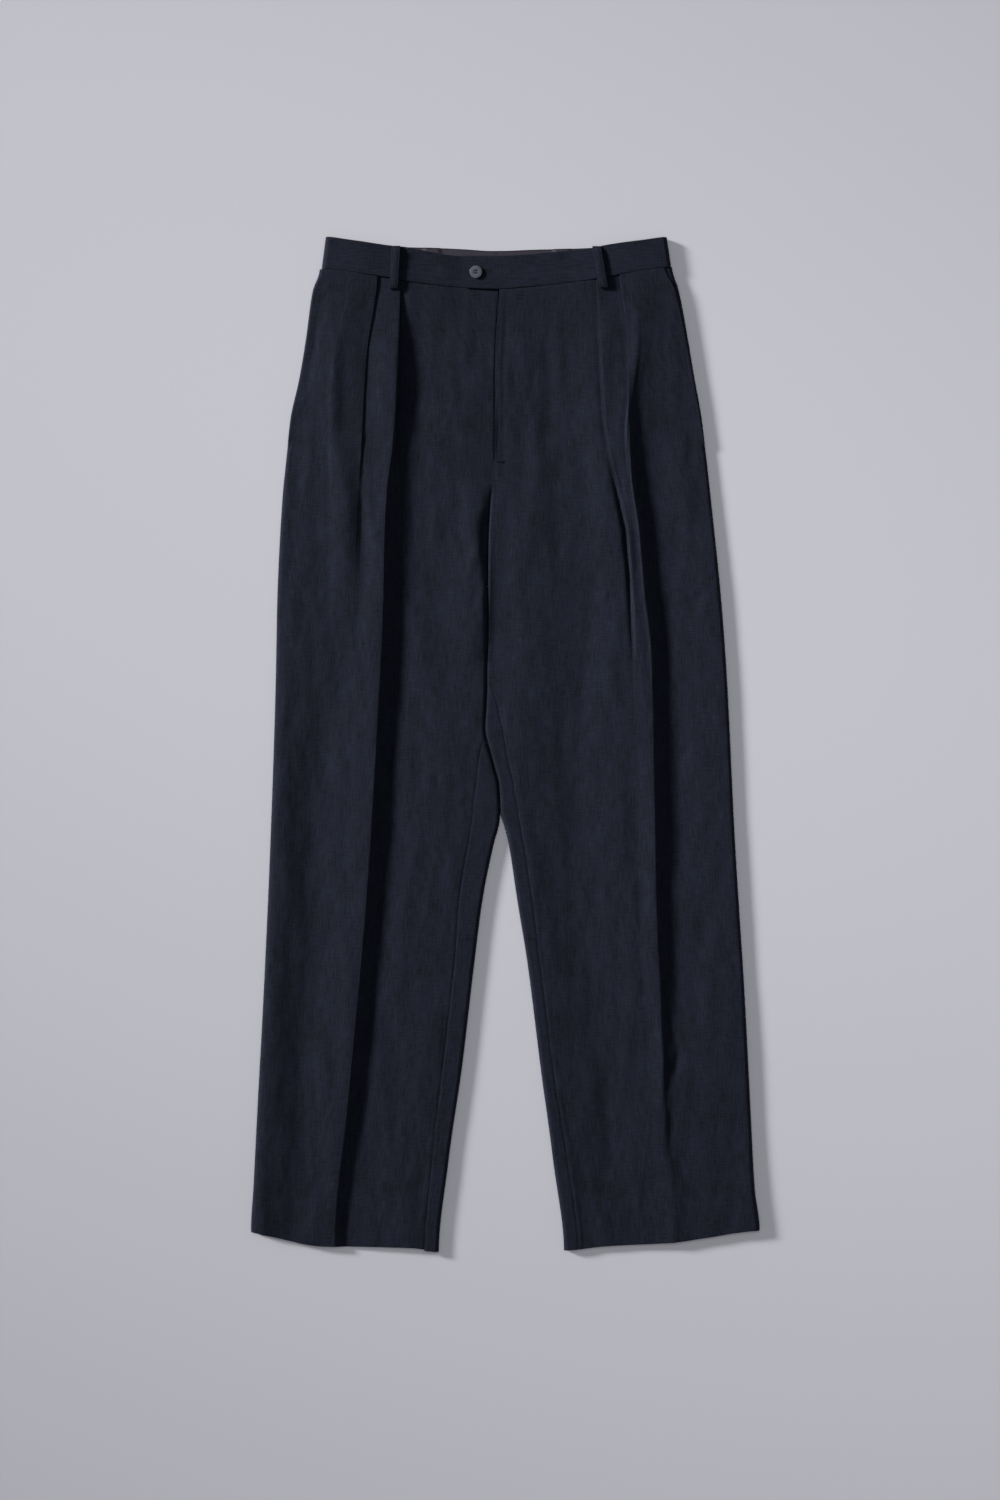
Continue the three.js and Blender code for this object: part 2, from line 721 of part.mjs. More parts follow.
function flyFacing() {
  const underlapEnd = (y) => readTable(RIGHT_LEG.inner, y).front + SEAM_GAP;
  const facingEnd = (y) => readTable(LEFT_LEG.inner, y).front + FLY_FACING_WIDTH;
  return flyStrip("fly_facing", LEFT_LEG, underlapEnd, facingEnd);
}

function flyShield() {
  const shieldStart = (y) => -readTable(LEFT_LEG.inner, y).front - FLY_FACING_WIDTH;
  const shieldEnd = (y) => -readTable(LEFT_LEG.inner, y).front + FLY_SHIELD_REACH;
  return flyStrip("fly_shield", RIGHT_LEG, shieldStart, shieldEnd);
}

// How far a back loop under the band lifts it at x.
function backLoopLift(x) {
  const reach = BACK_LOOP_WIDTH / 2 + SEAM_GAP;
  const lifts = BACK_LOOP_X.map((loopX) => {
    const past = Math.abs(x - loopX) - reach - 1;
    return 1 - THREE.MathUtils.smoothstep(past, 0, BACK_LOOP_RAMP);
  });
  return Math.max(...lifts) * (BACK_LOOP_WALL + SEAM_GAP);
}

function backBandHeight(x) {
  return BAND_WALL / 2 + backLoopLift(x);
}

// x of the points along the back band, close together beside each loop.
function backBandXs(fromX, toX) {
  const reach = BACK_LOOP_WIDTH / 2 + 1 + SEAM_GAP;
  const marks = BACK_LOOP_X.flatMap((x) => [
    x - reach - BACK_LOOP_RAMP,
    x - reach - BACK_LOOP_RAMP / 2,
    x - reach,
    x + reach,
    x + reach + BACK_LOOP_RAMP / 2,
    x + reach + BACK_LOOP_RAMP,
  ]);
  const evens = between(fromX, toX, [0, 0.25, 0.5, 0.75, 1]);
  const low = Math.min(fromX, toX);
  const high = Math.max(fromX, toX);
  const inside = marks.filter((x) => x > low + 3 && x < high - 3);
  const spare = evens.filter((x) => inside.every((mark) => Math.abs(mark - x) > 3));
  const all = [...inside, ...spare, fromX, toX];
  return [...new Set(all)].sort((a, b) => (a - b) * Math.sign(toX - fromX));
}

// Half of the waistband: from its end at the centre front round the side to the centre back.
function waistbandHalf(name, side, heights, endX, centreBackX, isTab) {
  const outward = Math.sign(side.atSeam);
  const heightTable = { columns: BAND_HEIGHT_COLUMNS, rows: heights };
  const rows = [0, 0.04, 0.12, 1].map((up) => {
    const sideX = lerp(side.atSeam, side.atTop, up) - (outward * BAND_WALL) / 2;
    const cut = isTab ? TAB_CORNER * (1 - Math.sqrt(1 - (1 - Math.min(up / 0.12, 1)) ** 2)) : 0;
    const startX = endX + outward * cut;
    const rollX = sideX - outward * BAND_SIDE_ROLL;
    const points = [];
    const push = (x, z, backward) => {
      const low = lerp(waistSeamY(x), backSeamY(x), backward) + WAIST_SEAM_GAP / 2;
      const high = lerp(edgeY(FRONT_TOP_EDGE, x), edgeY(BACK_TOP_EDGE, x), backward);
      points.push(new THREE.Vector3(x, lerp(low, high, up), z));
    };
    for (const part of [1, 0.93, 0.86, 0.74, 0.68, 0.62, 0.5, 0.38, 0.26, 0.15, 0]) {
      push(lerp(rollX, startX, part), readTable(heightTable, part).height, 0);
    }
    const top = heights[0][1];
    const mid = (top + BAND_WALL / 2) / 2;
    for (const part of [0.2, 0.4, 0.6, 0.8]) {
      const angle = part * Math.PI;
      const x = rollX + outward * BAND_SIDE_ROLL * Math.sin(angle);
      push(x, mid + (top - mid) * Math.cos(angle), part);
    }
    for (const x of backBandXs(rollX, centreBackX)) {
      push(x, backBandHeight(x), 1);
    }
    return points;
  });
  return wallMesh(name, rows, BAND_WALL, ALONG, CLOTH);
}

function waistbandLining() {
  const startX = -160;
  const endX = 146;
  const depth = 27;
  const inset = 1.2;
  const lift = BAND_WALL / 2 + SEAM_GAP + LINING_WALL / 2;
  const rows = [1, 0.5, 0].map((up) =>
    backBandXs(startX, endX).map((x) => {
      const y = edgeY(BACK_TOP_EDGE, x) - inset - depth * (1 - up);
      return new THREE.Vector3(x, y, backBandHeight(x) + lift);
    }),
  );
  return wallMesh("waistband_lining", rows, LINING_WALL, ALONG, LINING);
}

// Height of the highest layer of a section at a distance u.
function topOfSection(points, u) {
  let top = 0;
  for (let i = 0; i < points.length - 1; i += 1) {
    const [a, b] = [points[i], points[i + 1]];
    const inside = u >= Math.min(a[0], b[0]) && u <= Math.max(a[0], b[0]);
    if (inside && a[0] !== b[0]) {
      top = Math.max(top, lerp(a[1], b[1], (u - a[0]) / (b[0] - a[0])));
    }
  }
  return top;
}

function frontBandHeight(heights, side, endX, x) {
  const rollX = side.atSeam - Math.sign(side.atSeam) * (BAND_WALL / 2 + BAND_SIDE_ROLL);
  const part = (x - rollX) / (endX - rollX);
  return readTable({ columns: BAND_HEIGHT_COLUMNS, rows: heights }, part).height;
}

// Belt loop that stands a little off the front band, sewn down above and below it.
function frontLoop(name, leg, band, top, bottom) {
  const panel = frontSection(legSection(leg, bottom.y + 8));
  const reach = LOOP_WIDTH / 2;
  const across = [-reach, 0, reach];
  const seats = across.map((d) => topOfSection(panel, (bottom.x + d) * leg.outward));
  const bandTops = across.map((d) => frontBandHeight(band.heights, band.side, band.endX, top.x + d));
  const seatTop = Math.max(...bandTops) + BAND_WALL / 2 + SEAM_GAP + LOOP_WALL / 2;
  const seatBottom = Math.max(...seats) + WALL / 2 + SEAM_GAP + LOOP_WALL / 2;
  const shape = [
    [0, 0],
    [0.05, 0.55],
    [0.14, 1],
    [0.5, 1.1],
    [0.82, 1],
    [0.95, 0.6],
    [1, 0],
  ];
  const rows = [-reach, -reach * 0.6, reach * 0.6, reach].map((offset) => {
    const soft = Math.abs(offset) === reach ? 0.3 : 0;
    return shape.map(([down, stand]) => {
      const x = lerp(top.x, bottom.x, down) + offset;
      const y = lerp(top.y, bottom.y, down);
      return new THREE.Vector3(x, y, lerp(seatTop, seatBottom, down) + stand * LOOP_STAND - soft * stand);
    });
  });
  return wallMesh(name, rows, LOOP_WALL, SIDEWAYS, CLOTH);
}

// Plain loop that lies flat under the back band.
function backLoop(name, x) {
  const reach = BACK_LOOP_WIDTH / 2;
  const rows = [x - reach, x + reach].map((edgeX) => {
    const top = edgeY(BACK_TOP_EDGE, x) - 1;
    const points = [top, (top + backSeamY(x)) / 2, backSeamY(x) + 2];
    return points.map((y) => new THREE.Vector3(edgeX, y, BACK_LOOP_WALL / 2));
  });
  return wallMesh(name, rows, BACK_LOOP_WALL, SIDEWAYS, CLOTH);
}

function button() {
  const outline = new THREE.Shape();
  outline.absarc(0, 0, BUTTON_RADIUS - BUTTON_BEVEL, 0, 2 * Math.PI);
  for (const [across, along] of [[-1, -1], [-1, 1], [1, -1], [1, 1]]) {
    const hole = new THREE.Path();
    const x = (across * BUTTON_HOLE_PITCH) / 2;
    const y = (along * BUTTON_HOLE_PITCH) / 2;
    hole.absarc(x, y, BUTTON_HOLE_RADIUS * 0.8, 0, 2 * Math.PI, true);
    outline.holes.push(hole);
  }
  const geometry = new THREE.ExtrudeGeometry(outline, {
    depth: BUTTON_THICKNESS - 2 * BUTTON_BEVEL,
    bevelEnabled: true,
    bevelThickness: BUTTON_BEVEL,
    bevelSize: BUTTON_BEVEL / 4,
    bevelSegments: 1,
    curveSegments: 8,
  });
  const tab = frontBandHeight(LEFT_BAND_HEIGHTS, LEFT_BAND_SIDE, TAB_END_X, BUTTON_X);
  const mesh = new THREE.Mesh(geometry, HORN);
  mesh.name = "button";
  mesh.position.set(BUTTON_X, BUTTON_Y, tab + BAND_WALL / 2 + SEAM_GAP + BUTTON_BEVEL);
  return mesh;
}

const RIGHT_BAND = { heights: RIGHT_BAND_HEIGHTS, side: RIGHT_BAND_SIDE, endX: UNDERLAP_END_X };
const LEFT_BAND = { heights: LEFT_BAND_HEIGHTS, side: LEFT_BAND_SIDE, endX: TAB_END_X };
const CENTRE_BACK_X = readTable(RIGHT_LEG.inner, WAIST_SEAM_Y).back;

const trousers = new THREE.Group();
trousers.name = "pleated_trousers";
trousers.add(
  frontPanel("front_right", RIGHT_LEG),
  frontPanel("front_left", LEFT_LEG),
  backPanel("back_right", RIGHT_LEG),
  backPanel("back_left", LEFT_LEG),
  pocketFacing("pocket_facing_right", RIGHT_LEG),
  pocketFacing("pocket_facing_left", LEFT_LEG),
  flyFacing(),
  flyShield(),
  waistbandHalf(
    "waistband_right",
    RIGHT_BAND_SIDE,
    RIGHT_BAND_HEIGHTS,
    UNDERLAP_END_X,
    CENTRE_BACK_X - SEAM_GAP / 2,
    false,
  ),
  waistbandHalf(
    "waistband_left",
    LEFT_BAND_SIDE,
    LEFT_BAND_HEIGHTS,
    TAB_END_X,
    CENTRE_BACK_X + SEAM_GAP / 2,
    true,
  ),
  waistbandLining(),
  frontLoop("belt_loop_front_right", RIGHT_LEG, RIGHT_BAND, { x: -118.9, y: 543 }, { x: -121.6, y: 496 }),
  frontLoop("belt_loop_front_left", LEFT_LEG, LEFT_BAND, { x: 99.2, y: 542.5 }, { x: 107.5, y: 496.5 }),
  backLoop("belt_loop_back_right", BACK_LOOP_X[0]),
  backLoop("belt_loop_back_left", BACK_LOOP_X[1]),
  button(),
);

export default trousers;
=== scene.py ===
"""Pleated trousers laid flat with the front up: cloth, lining, loops, button and sewing on the frame."""

import logging
import math
from dataclasses import dataclass
from enum import Enum
from functools import cached_property

import bpy
import numpy as np
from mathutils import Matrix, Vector, noise


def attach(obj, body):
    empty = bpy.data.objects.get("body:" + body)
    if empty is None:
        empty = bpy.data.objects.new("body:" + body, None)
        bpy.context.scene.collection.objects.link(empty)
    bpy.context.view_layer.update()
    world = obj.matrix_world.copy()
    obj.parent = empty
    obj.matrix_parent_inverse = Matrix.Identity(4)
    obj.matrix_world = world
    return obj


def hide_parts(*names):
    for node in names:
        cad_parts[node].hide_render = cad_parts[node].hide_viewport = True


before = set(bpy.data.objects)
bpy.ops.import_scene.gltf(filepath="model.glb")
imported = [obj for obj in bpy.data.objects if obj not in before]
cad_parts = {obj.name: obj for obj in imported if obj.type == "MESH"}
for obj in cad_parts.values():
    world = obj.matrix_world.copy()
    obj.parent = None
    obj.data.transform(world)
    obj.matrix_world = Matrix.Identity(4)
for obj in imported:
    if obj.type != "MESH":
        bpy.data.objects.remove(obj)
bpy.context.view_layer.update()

log = logging.getLogger("trousers")

MM = 0.001


def smooth(value: np.ndarray | float) -> np.ndarray | float:
    """Eases a value from 0 to 1.

    Args:
        value: any number, held between 0 and 1.
    Returns:
        The eased value.
    """
    held = np.clip(value, 0.0, 1.0)
    return held * held * (3.0 - 2.0 * held)


def smoothstep(value: float, low: float, high: float) -> float:
    """Returns 0 below low and 1 above high, eased between them."""
    return smooth((value - low) / (high - low))


def mix(a: float, b: float, part: float) -> float:
    """Returns the value that lies part of the way from a to b."""
    return a + (b - a) * part


def curve(keys: list[float], values: list[float], at: np.ndarray | float) -> np.ndarray:
    """Smooth values between knots, which never swing past the knots.

    Args:
        keys: places of the knots, running up.
        values: value at each knot.
        at: places to read.
    Returns:
        The value at each place.
    """
    keys, values = np.asarray(keys, float), np.asarray(values, float)
    widths = np.diff(keys)
    rates = np.diff(values) / widths
    slopes = np.zeros_like(keys)
    product = rates[:-1] * rates[1:]
    total = np.where(product > 0, rates[:-1] + rates[1:], 1.0)
    slopes[1:-1] = np.where(product > 0, 2.0 * product / total, 0.0)
    at = np.clip(at, keys[0], keys[-1])
    i = np.clip(np.searchsorted(keys, at, side="right") - 1, 0, len(keys) - 2)
    t = (at - keys[i]) / widths[i]
    start, end, rise = slopes[i] * widths[i], slopes[i + 1] * widths[i], values[i + 1] - values[i]
    return (((start + end - 2 * rise) * t + 3 * rise - 2 * start - end) * t + start) * t + values[i]


@dataclass(frozen=True)
class Table:
    """Sizes in millimetres, read smoothly at any place along their first column."""

    columns: tuple[str, ...]
    rows: tuple[tuple[float, ...], ...]

    @cached_property
    def data(self) -> np.ndarray:
        """The rows as an array, sorted by their first column."""
        return np.array(sorted(self.rows), float)

    def at(self, key: float) -> dict[str, float]:
        """Returns the named sizes at a place."""
        data = self.data
        return {
            name: float(curve(data[:, 0], data[:, i], key))
            for i, name in enumerate(self.columns)
            if i > 0
        }

    def line(self, keys: np.ndarray) -> np.ndarray:
        """Returns the second column at many places."""
        return curve(self.data[:, 0], self.data[:, 1], keys)


# Sizes of the legs and the band, in millimetres. They follow the frame's solids. The pleats are pressed
# as thin as their cloth, and some heights, creases and inner edges differ from the frame's.
INNER = ("y", "front", "back", "curl", "wrap")
RIGHT_INNER = Table(INNER, (
    (507, -2.1, -8.2, 0, 0), (484, -3.2, -8.2, 0, 0), (441, -5.7, -8.4, 0, 0),
    (397, -6.7, -8.8, 0, 0), (312, -6.7, -10.6, 0, 0), (304, -11.6, -11.2, 0, 0),
    (285, -14.0, -13.6, 0, 0), (262, -16.2, -15.8, 0.4, 0), (234, -17.8, -17.8, 1, 0),
    (201, -18.7, -18.7, 1, 0), (128, -19.6, -19.6, 1, 0), (43, -21.2, -21.2, 1, 0),
    (28, -22.0, -22.0, 1, 1.2), (15, -22.5, -22.5, 1, 2.6), (9, -21.4, -21.4, 1, 4.0),
    (4, -19.9, -19.9, 1, 6.0),
    (-2, -18.2, -18.2, 1, 9.9), (-20, -13.4, -13.4, 1, 18.2), (-46, -7.0, -7.0, 1, 27.3),
    (-75, -5.5, -5.5, 1, 32.1), (-90, -7.3, -7.3, 1, 32.5), (-104, -11.5, -11.5, 1, 30.4),
    (-170, -24.9, -24.9, 1, 27.6), (-240, -34.0, -34.0, 1, 23.8), (-354, -47.5, -47.5, 1, 23.1),
    (-453, -62.1, -62.1, 1, 20.2), (-545, -72.5, -72.5, 1, 17.8),
))
LEFT_INNER = Table(INNER, (
    (507, -6.6, -8.2, 0, 0), (484, -8.2, -8.2, 0, 0), (441, -10.9, -8.4, 0, 0),
    (397, -11.6, -8.8, 0, 0), (312, -11.7, -10.6, 0, 0), (304, -11.2, -11.2, 0, 0),
    (285, -13.8, -13.6, 0, 0), (262, -16.0, -15.8, 0.4, 0), (234, -17.8, -17.8, 1, 0),
    (201, -18.7, -18.7, 1, 0), (128, -19.6, -19.6, 1, 0), (94, -20.2, -20.2, 1, 0),
    (80, -20.4, -20.4, 1, 1.2), (70, -20.6, -20.6, 1, 2.4), (65, -20.7, -20.7, 1, 3.9),
    (60, -20.8, -20.8, 1, 6.8), (55, -20.9, -20.9, 1, 10.2),
    (25, -22.1, -22.1, 1, 18.8), (15, -22.5, -22.5, 1, 21.7), (-2, -18.2, -18.2, 1, 20.4),
    (-20, -13.4, -13.4, 1, 19.1), (-46, -7.0, -7.0, 1, 18.1), (-75, -5.5, -5.5, 1, 21.4),
    (-90, -0.6, -0.6, 1, 19.5), (-104, 2.9, 2.9, 1, 18.4), (-170, 13.1, 13.1, 1, 18.4),
    (-240, 24.4, 24.4, 1, 15.5), (-354, 38.7, 38.7, 1, 15.6), (-453, 52.3, 52.3, 1, 17.6),
    (-545, 63.9, 63.9, 1, 17.7),
))
OUTER = ("y", "side", "pocket")
RIGHT_OUTER = Table(OUTER, (
    (507, -202.5, 3.2), (484, -210.3, 1.9), (441, -217.2, 1.7), (397, -225.2, 1.6),
    (354, -234.6, 1.5), (310, -239.0, 0), (267, -243.2, 0), (158, -248.7, 0), (70, -250.4, 0),
    (-104, -256.1, 0), (-278, -263.9, 0), (-410, -271.0, 0), (-497, -274.9, 0), (-545, -277.4, 0),
))
LEFT_OUTER = Table(OUTER, (
    (507, 182.0, 8.4), (484, 189.1, 4.4), (441, 198.7, 2.4), (397, 206.9, 1.7),
    (354, 214.5, 1.5), (310, 219.6, 0), (267, 224.3, 0), (158, 235.5, 0), (70, 241.9, 0),
    (-104, 250.4, 0), (-278, 261.3, 0), (-410, 268.0, 0), (-497, 272.2, 0), (-545, 277.4, 0),
))
PLEAT = ("y", "edge", "foot", "turn", "run", "radius")
RIGHT_FIRST_PLEAT = Table(PLEAT, (
    (507, -114.8, 4.0, 178, 20, 0.28), (470, -115.6, 4.2, 174, 16, 0.6),
    (430, -117.3, 4.6, 160, 9, 1.2), (385, -119.5, 5.2, 120, 4.5, 1.9),
    (325, -123.4, 6.0, 80, 4.5, 2.5), (275, -129.5, 6.4, 60, 7, 3), (223, -132.0, 6.6, 50, 9.5, 3.5),
    (150, -133.5, 6.6, 43, 11.5, 4), (48, -138.3, 6.4, 39, 12, 4), (-170, -151.9, 6.0, 35, 13, 4),
    (-387, -171.5, 5.6, 31, 12.5, 4), (-545, -186.5, 5.0, 25, 12, 4),
))
RIGHT_SECOND_PLEAT = Table(PLEAT, (
    (507, -139.6, 7.2, 178, 13, 0.28), (470, -144.0, 8.0, 177, 10, 0.28),
    (430, -150.6, 9.2, 176, 7, 0.28), (385, -154.0, 10.4, 174, 4.5, 0.28),
    (345, -156.0, 11.2, 150, 1.5, 0.28), (325, -157.0, 11.5, 70, 1, 0.7),
    (280, -160.0, 12.4, 15, 3, 3), (150, -166.0, 12.6, 8, 5, 5),
    (-545, -215.0, 9.6, 7, 5, 5),
))
LEFT_FIRST_PLEAT = Table(PLEAT, (
    (507, 100.0, 5.4, 178, 20, 0.28), (441, 104.0, 6.4, 178, 17, 0.28),
    (354, 109.4, 7.8, 177, 12, 0.28), (315, 115.4, 8.4, 174, 9, 0.5), (273, 126.2, 8.8, 165, 6, 0.6),
    (235, 134.0, 9.2, 140, 4, 0.8), (190, 137.2, 10.2, 90, 2.5, 1.1), (140, 139.5, 11.8, 45, 2.5, 1.5),
    (95, 142.0, 13.0, 15, 3, 3), (-170, 149.0, 11.0, 8, 4, 5), (-545, 167.0, 9.0, 8, 4, 5),
))
LEFT_SECOND_PLEAT = Table(PLEAT, (
    (507, 125.0, 8.4, 178, 12, 0.28), (484, 128.0, 8.9, 177, 11, 0.28),
    (430, 134.0, 9.8, 174, 7, 0.28), (380, 134.0, 11.2, 120, 2.0, 0.7), (340, 132.8, 12.8, 40, 2, 2),
    (280, 136.4, 14.0, 10, 2, 3), (235, 142.2, 14.2, 8, 1.5, 3), (140, 150.0, 14.4, 8, 1.5, 3),
    (95, 155.4, 14.4, 8, 1.5, 3), (-170, 159.5, 13.4, 8, 1.5, 3), (-285, 164.0, 12.2, 8, 1.5, 3),
    (-400, 168.0, 11.2, 8, 1.5, 3), (-545, 180.0, 10.4, 8, 1.5, 3),
))
HEIGHTS = ("y", "inner", "ridge_x", "ridge", "valley_x", "valley", "side")
RIGHT_HEIGHTS = Table(HEIGHTS, (
    (507, 3.6, -164, 11.0, -182, 10.8, 10.8), (441, 3.6, -180, 12.6, -200, 11.0, 9.4),
    (375, 3.6, -188, 12.8, -208, 10.6, 9.0), (312, 3.6, -188, 12.8, -210, 10.0, 8.6),
    (304, 3.6, -188, 12.8, -210, 10.0, 8.6), (285, 3.5, -186, 12.8, -212, 9.8, 8.6),
    (262, 2.7, -185, 12.6, -213, 9.8, 8.7), (234, 2.1, -184, 12.4, -214, 9.8, 8.8),
    (201, 2.5, -183, 12.4, -214, 9.6, 8.8), (165, 4.2, -184, 12.4, -215, 9.7, 8.9),
    (128, 6.2, -185, 12.4, -216, 9.8, 9.0),
    (15, 8.4, -190, 12.2, -220, 9.8, 9.2), (-170, 8.6, -202, 11.6, -230, 9.8, 9.6),
    (-387, 8.6, -222, 11.0, -246, 10.0, 10.2), (-545, 8.8, -235, 10.6, -256, 10.4, 11.0),
))
LEFT_HEIGHTS = Table(HEIGHTS, (
    (507, 5.0, 142, 11.4, 160, 11.2, 11.0), (441, 5.0, 144, 12.8, 162, 10.8, 9.4),
    (375, 5.0, 137.5, 14.0, 148, 9.8, 8.6), (330, 5.0, 135.5, 15.0, 146, 8.2, 8.2),
    (312, 5.0, 136, 15.2, 146.5, 7.8, 8.2), (304, 5.0, 136.5, 15.3, 147, 7.6, 8.2),
    (285, 4.4, 138, 15.6, 149.5, 7.2, 8.2), (234, 5.2, 145.5, 15.8, 159, 6.8, 8.4),
    (170, 5.8, 151, 15.8, 166, 6.6, 8.6), (95, 6.6, 159, 15.6, 175, 6.6, 8.8),
    (-60, 8.6, 162, 15.4, 178, 6.6, 9.0), (-170, 8.6, 164, 15.0, 181, 6.8, 9.2),
    (-285, 8.6, 169, 13.4, 187, 7.6, 9.4), (-400, 8.6, 173, 11.6, 191, 9.0, 9.8),
    (-545, 8.8, 185, 10.8, 204, 10.0, 10.6),
))
FLANK = ("y", "valley_x", "valley")
RIGHT_FLANK = Table(FLANK, (
    (150, -184, 10.4), (48, -189, 9.0), (-17, -204, 8.0), (-82, -208, 7.8), (-213, -206, 7.6),
    (-344, -219, 7.4), (-475, -222, 7.8), (-545, -226, 8.4),
))
EDGE = ("x", "y")
WAIST_SEAM = Table(EDGE, (
    (-200, 518), (-140, 511), (-99, 504), (-50, 498.7), (-7, 497), (26, 499.4), (60, 502.5),
    (97, 507.4), (146, 516.1), (182, 520.2),
))
BACK_SEAM = Table(EDGE, (
    (-200, 518), (-120, 508.5), (-60, 504.4), (-8, 503), (50, 504.6), (110, 509.5), (182, 520.2),
))
FRONT_BAND_TOP = Table(EDGE, (
    (-198, 553.2), (-167, 549.5), (-124, 543.5), (-109, 542.2), (-93, 539.1), (-48, 532.9),
    (-7, 532.8), (61, 537.4), (93, 540.2), (105, 543.2), (149, 549.5), (178, 552.8),
))
BACK_BAND_TOP = Table(EDGE, (
    (-198, 553.2), (-167, 549.5), (-124, 543.5), (-80, 542.2), (-47, 540.8), (-15, 538.9), (-4, 538.9),
    (29, 540.1), (62, 541), (94, 542.1), (105, 543.3), (149, 549.5), (178, 552.8),
))
RIGHT_HEM = Table(EDGE, (
    (-278, -531.5), (-262, -534.7), (-199, -547), (-117, -548.5), (-72, -553.1),
))
LEFT_HEM = Table(EDGE, (
    (63, -551.5), (110, -547), (183, -542.8), (220, -537.4), (278, -529.8),
))
BAND_HEIGHT = ("part", "height")
RIGHT_BAND_HEIGHTS = Table(BAND_HEIGHT, (
    (0, 10.6), (0.15, 10.8), (0.4, 8.4), (0.62, 6.4), (0.74, 4.6), (1, 4.5),
))
LEFT_BAND_HEIGHTS = Table(BAND_HEIGHT, (
    (0, 10.8), (0.15, 11.2), (0.26, 10.4), (0.38, 8.6), (0.6, 6.9), (1, 6.7),
))

LIFT = ("x", "lift")
RIGHT_LIFT = Table(LIFT, (
    (-203, 0), (-165, 0), (-140, 1.0), (-115, 2.6), (-100, 3.5), (-85, 3.1), (-70, 2.5), (-46, 1.0),
    (-1, 1.0),
))
LEFT_LIFT = Table(LIFT, (
    (-14, 1.7), (0, 1.8), (42, 2.0), (60, 2.4), (80, 3.0), (95, 3.3), (110, 2.2), (125, 0.8), (142, 0),
    (185, 0),
))
RIGHT_FRONT_HEM = Table(EDGE, (
    (-278, -531.5), (-262, -534.7), (-199, -547), (-117, -548.4), (-96, -549.2), (-72, -551.2),
))

# Places along the garment where its parts and the blends between them begin or end, in millimetres.
WAIST_SEAM_Y = 507.0
LIFT_END_Y = 450.0
WAIST_BLEND_Y = 400.0
HEM_BLEND_Y = -400.0
HEM_Y = -545.0
POCKET_END_Y = 330.0
POCKET_CLOSED_Y = 318.0
FLY_END_Y = 308.0
MEETING_LOW = (-80.0, -72.0)
MEETING_HIGH = (302.0, 306.0)
# The waistband holds the cloth below it still: HELD_PART of its folds is left beside the band.
HOLD_START_Y = 420.0
HOLD_RUN = 90.0
HELD_PART = 0.35
# Thickness of the cloth, and the distance between the middles of two layers that lie on each other.
CLOTH = 0.5
LAYER_STEP = 1.4


class Side(Enum):
    """The wearer's side, as the sign of x on which it lies."""

    RIGHT = -1
    LEFT = 1


@dataclass(frozen=True)
class Fold:
    """Soft ridge, or trough where its height is below 0, along a path of points on the garment.

    Its left and right widths are those of someone who walks along the path. It fades towards both
    ends of the path as a half sine raised to FADE.
    """

    path: tuple[tuple[float, float], ...]
    height: float
    left: float
    right: float
    FADE = 0.7

    def at(self, x: np.ndarray, y: np.ndarray) -> np.ndarray:
        """Height that the fold adds.

        Args:
            x, y: places on the garment, in millimetres.
        Returns:
            The added height at each place.
        """
        points = np.array(self.path, float)
        steps = np.diff(points, axis=0)
        lengths = np.hypot(steps[:, 0], steps[:, 1])
        starts = np.concatenate([[0.0], np.cumsum(lengths)])
        nearest = np.full(x.shape, np.inf)
        signed, along = np.zeros(x.shape), np.zeros(x.shape)
        for (px, py), (sx, sy), length, start in zip(points, steps, lengths, starts):
            t = ((x - px) * sx + (y - py) * sy) / length**2
            held = np.clip(t, 0.0, 1.0)
            dx, dy = x - px - held * sx, y - py - held * sy
            gap = np.hypot(dx, dy)
            closer = gap < nearest
            nearest = np.where(closer, gap, nearest)
            signed = np.where(closer, np.copysign(gap, (x - px) * -sy + (y - py) * sx), signed)
            along = np.where(closer, start + held * length, along)
        part = along / starts[-1]
        fade = np.sin(np.pi * np.clip(part, 0.0, 1.0)) ** self.FADE
        reach = nearest / np.where(signed > 0, self.left, self.right)
        return self.height * fade * np.exp(-reach * reach)


@dataclass(frozen=True)
class Unevenness:
    """Soft unevenness that wearing and folding leave in woven cloth, longer along the leg than across it."""

    height: float
    across: float
    along: float
    seed: float

    def at(self, x: np.ndarray, y: np.ndarray) -> np.ndarray:
        """Returns the added height at each place, in millimetres."""
        flat = [
            noise.noise(Vector((a / self.across, b / self.along, self.seed)))
            for a, b in zip(x.ravel().tolist(), y.ravel().tolist())
        ]
        return self.height * np.array(flat).reshape(x.shape)


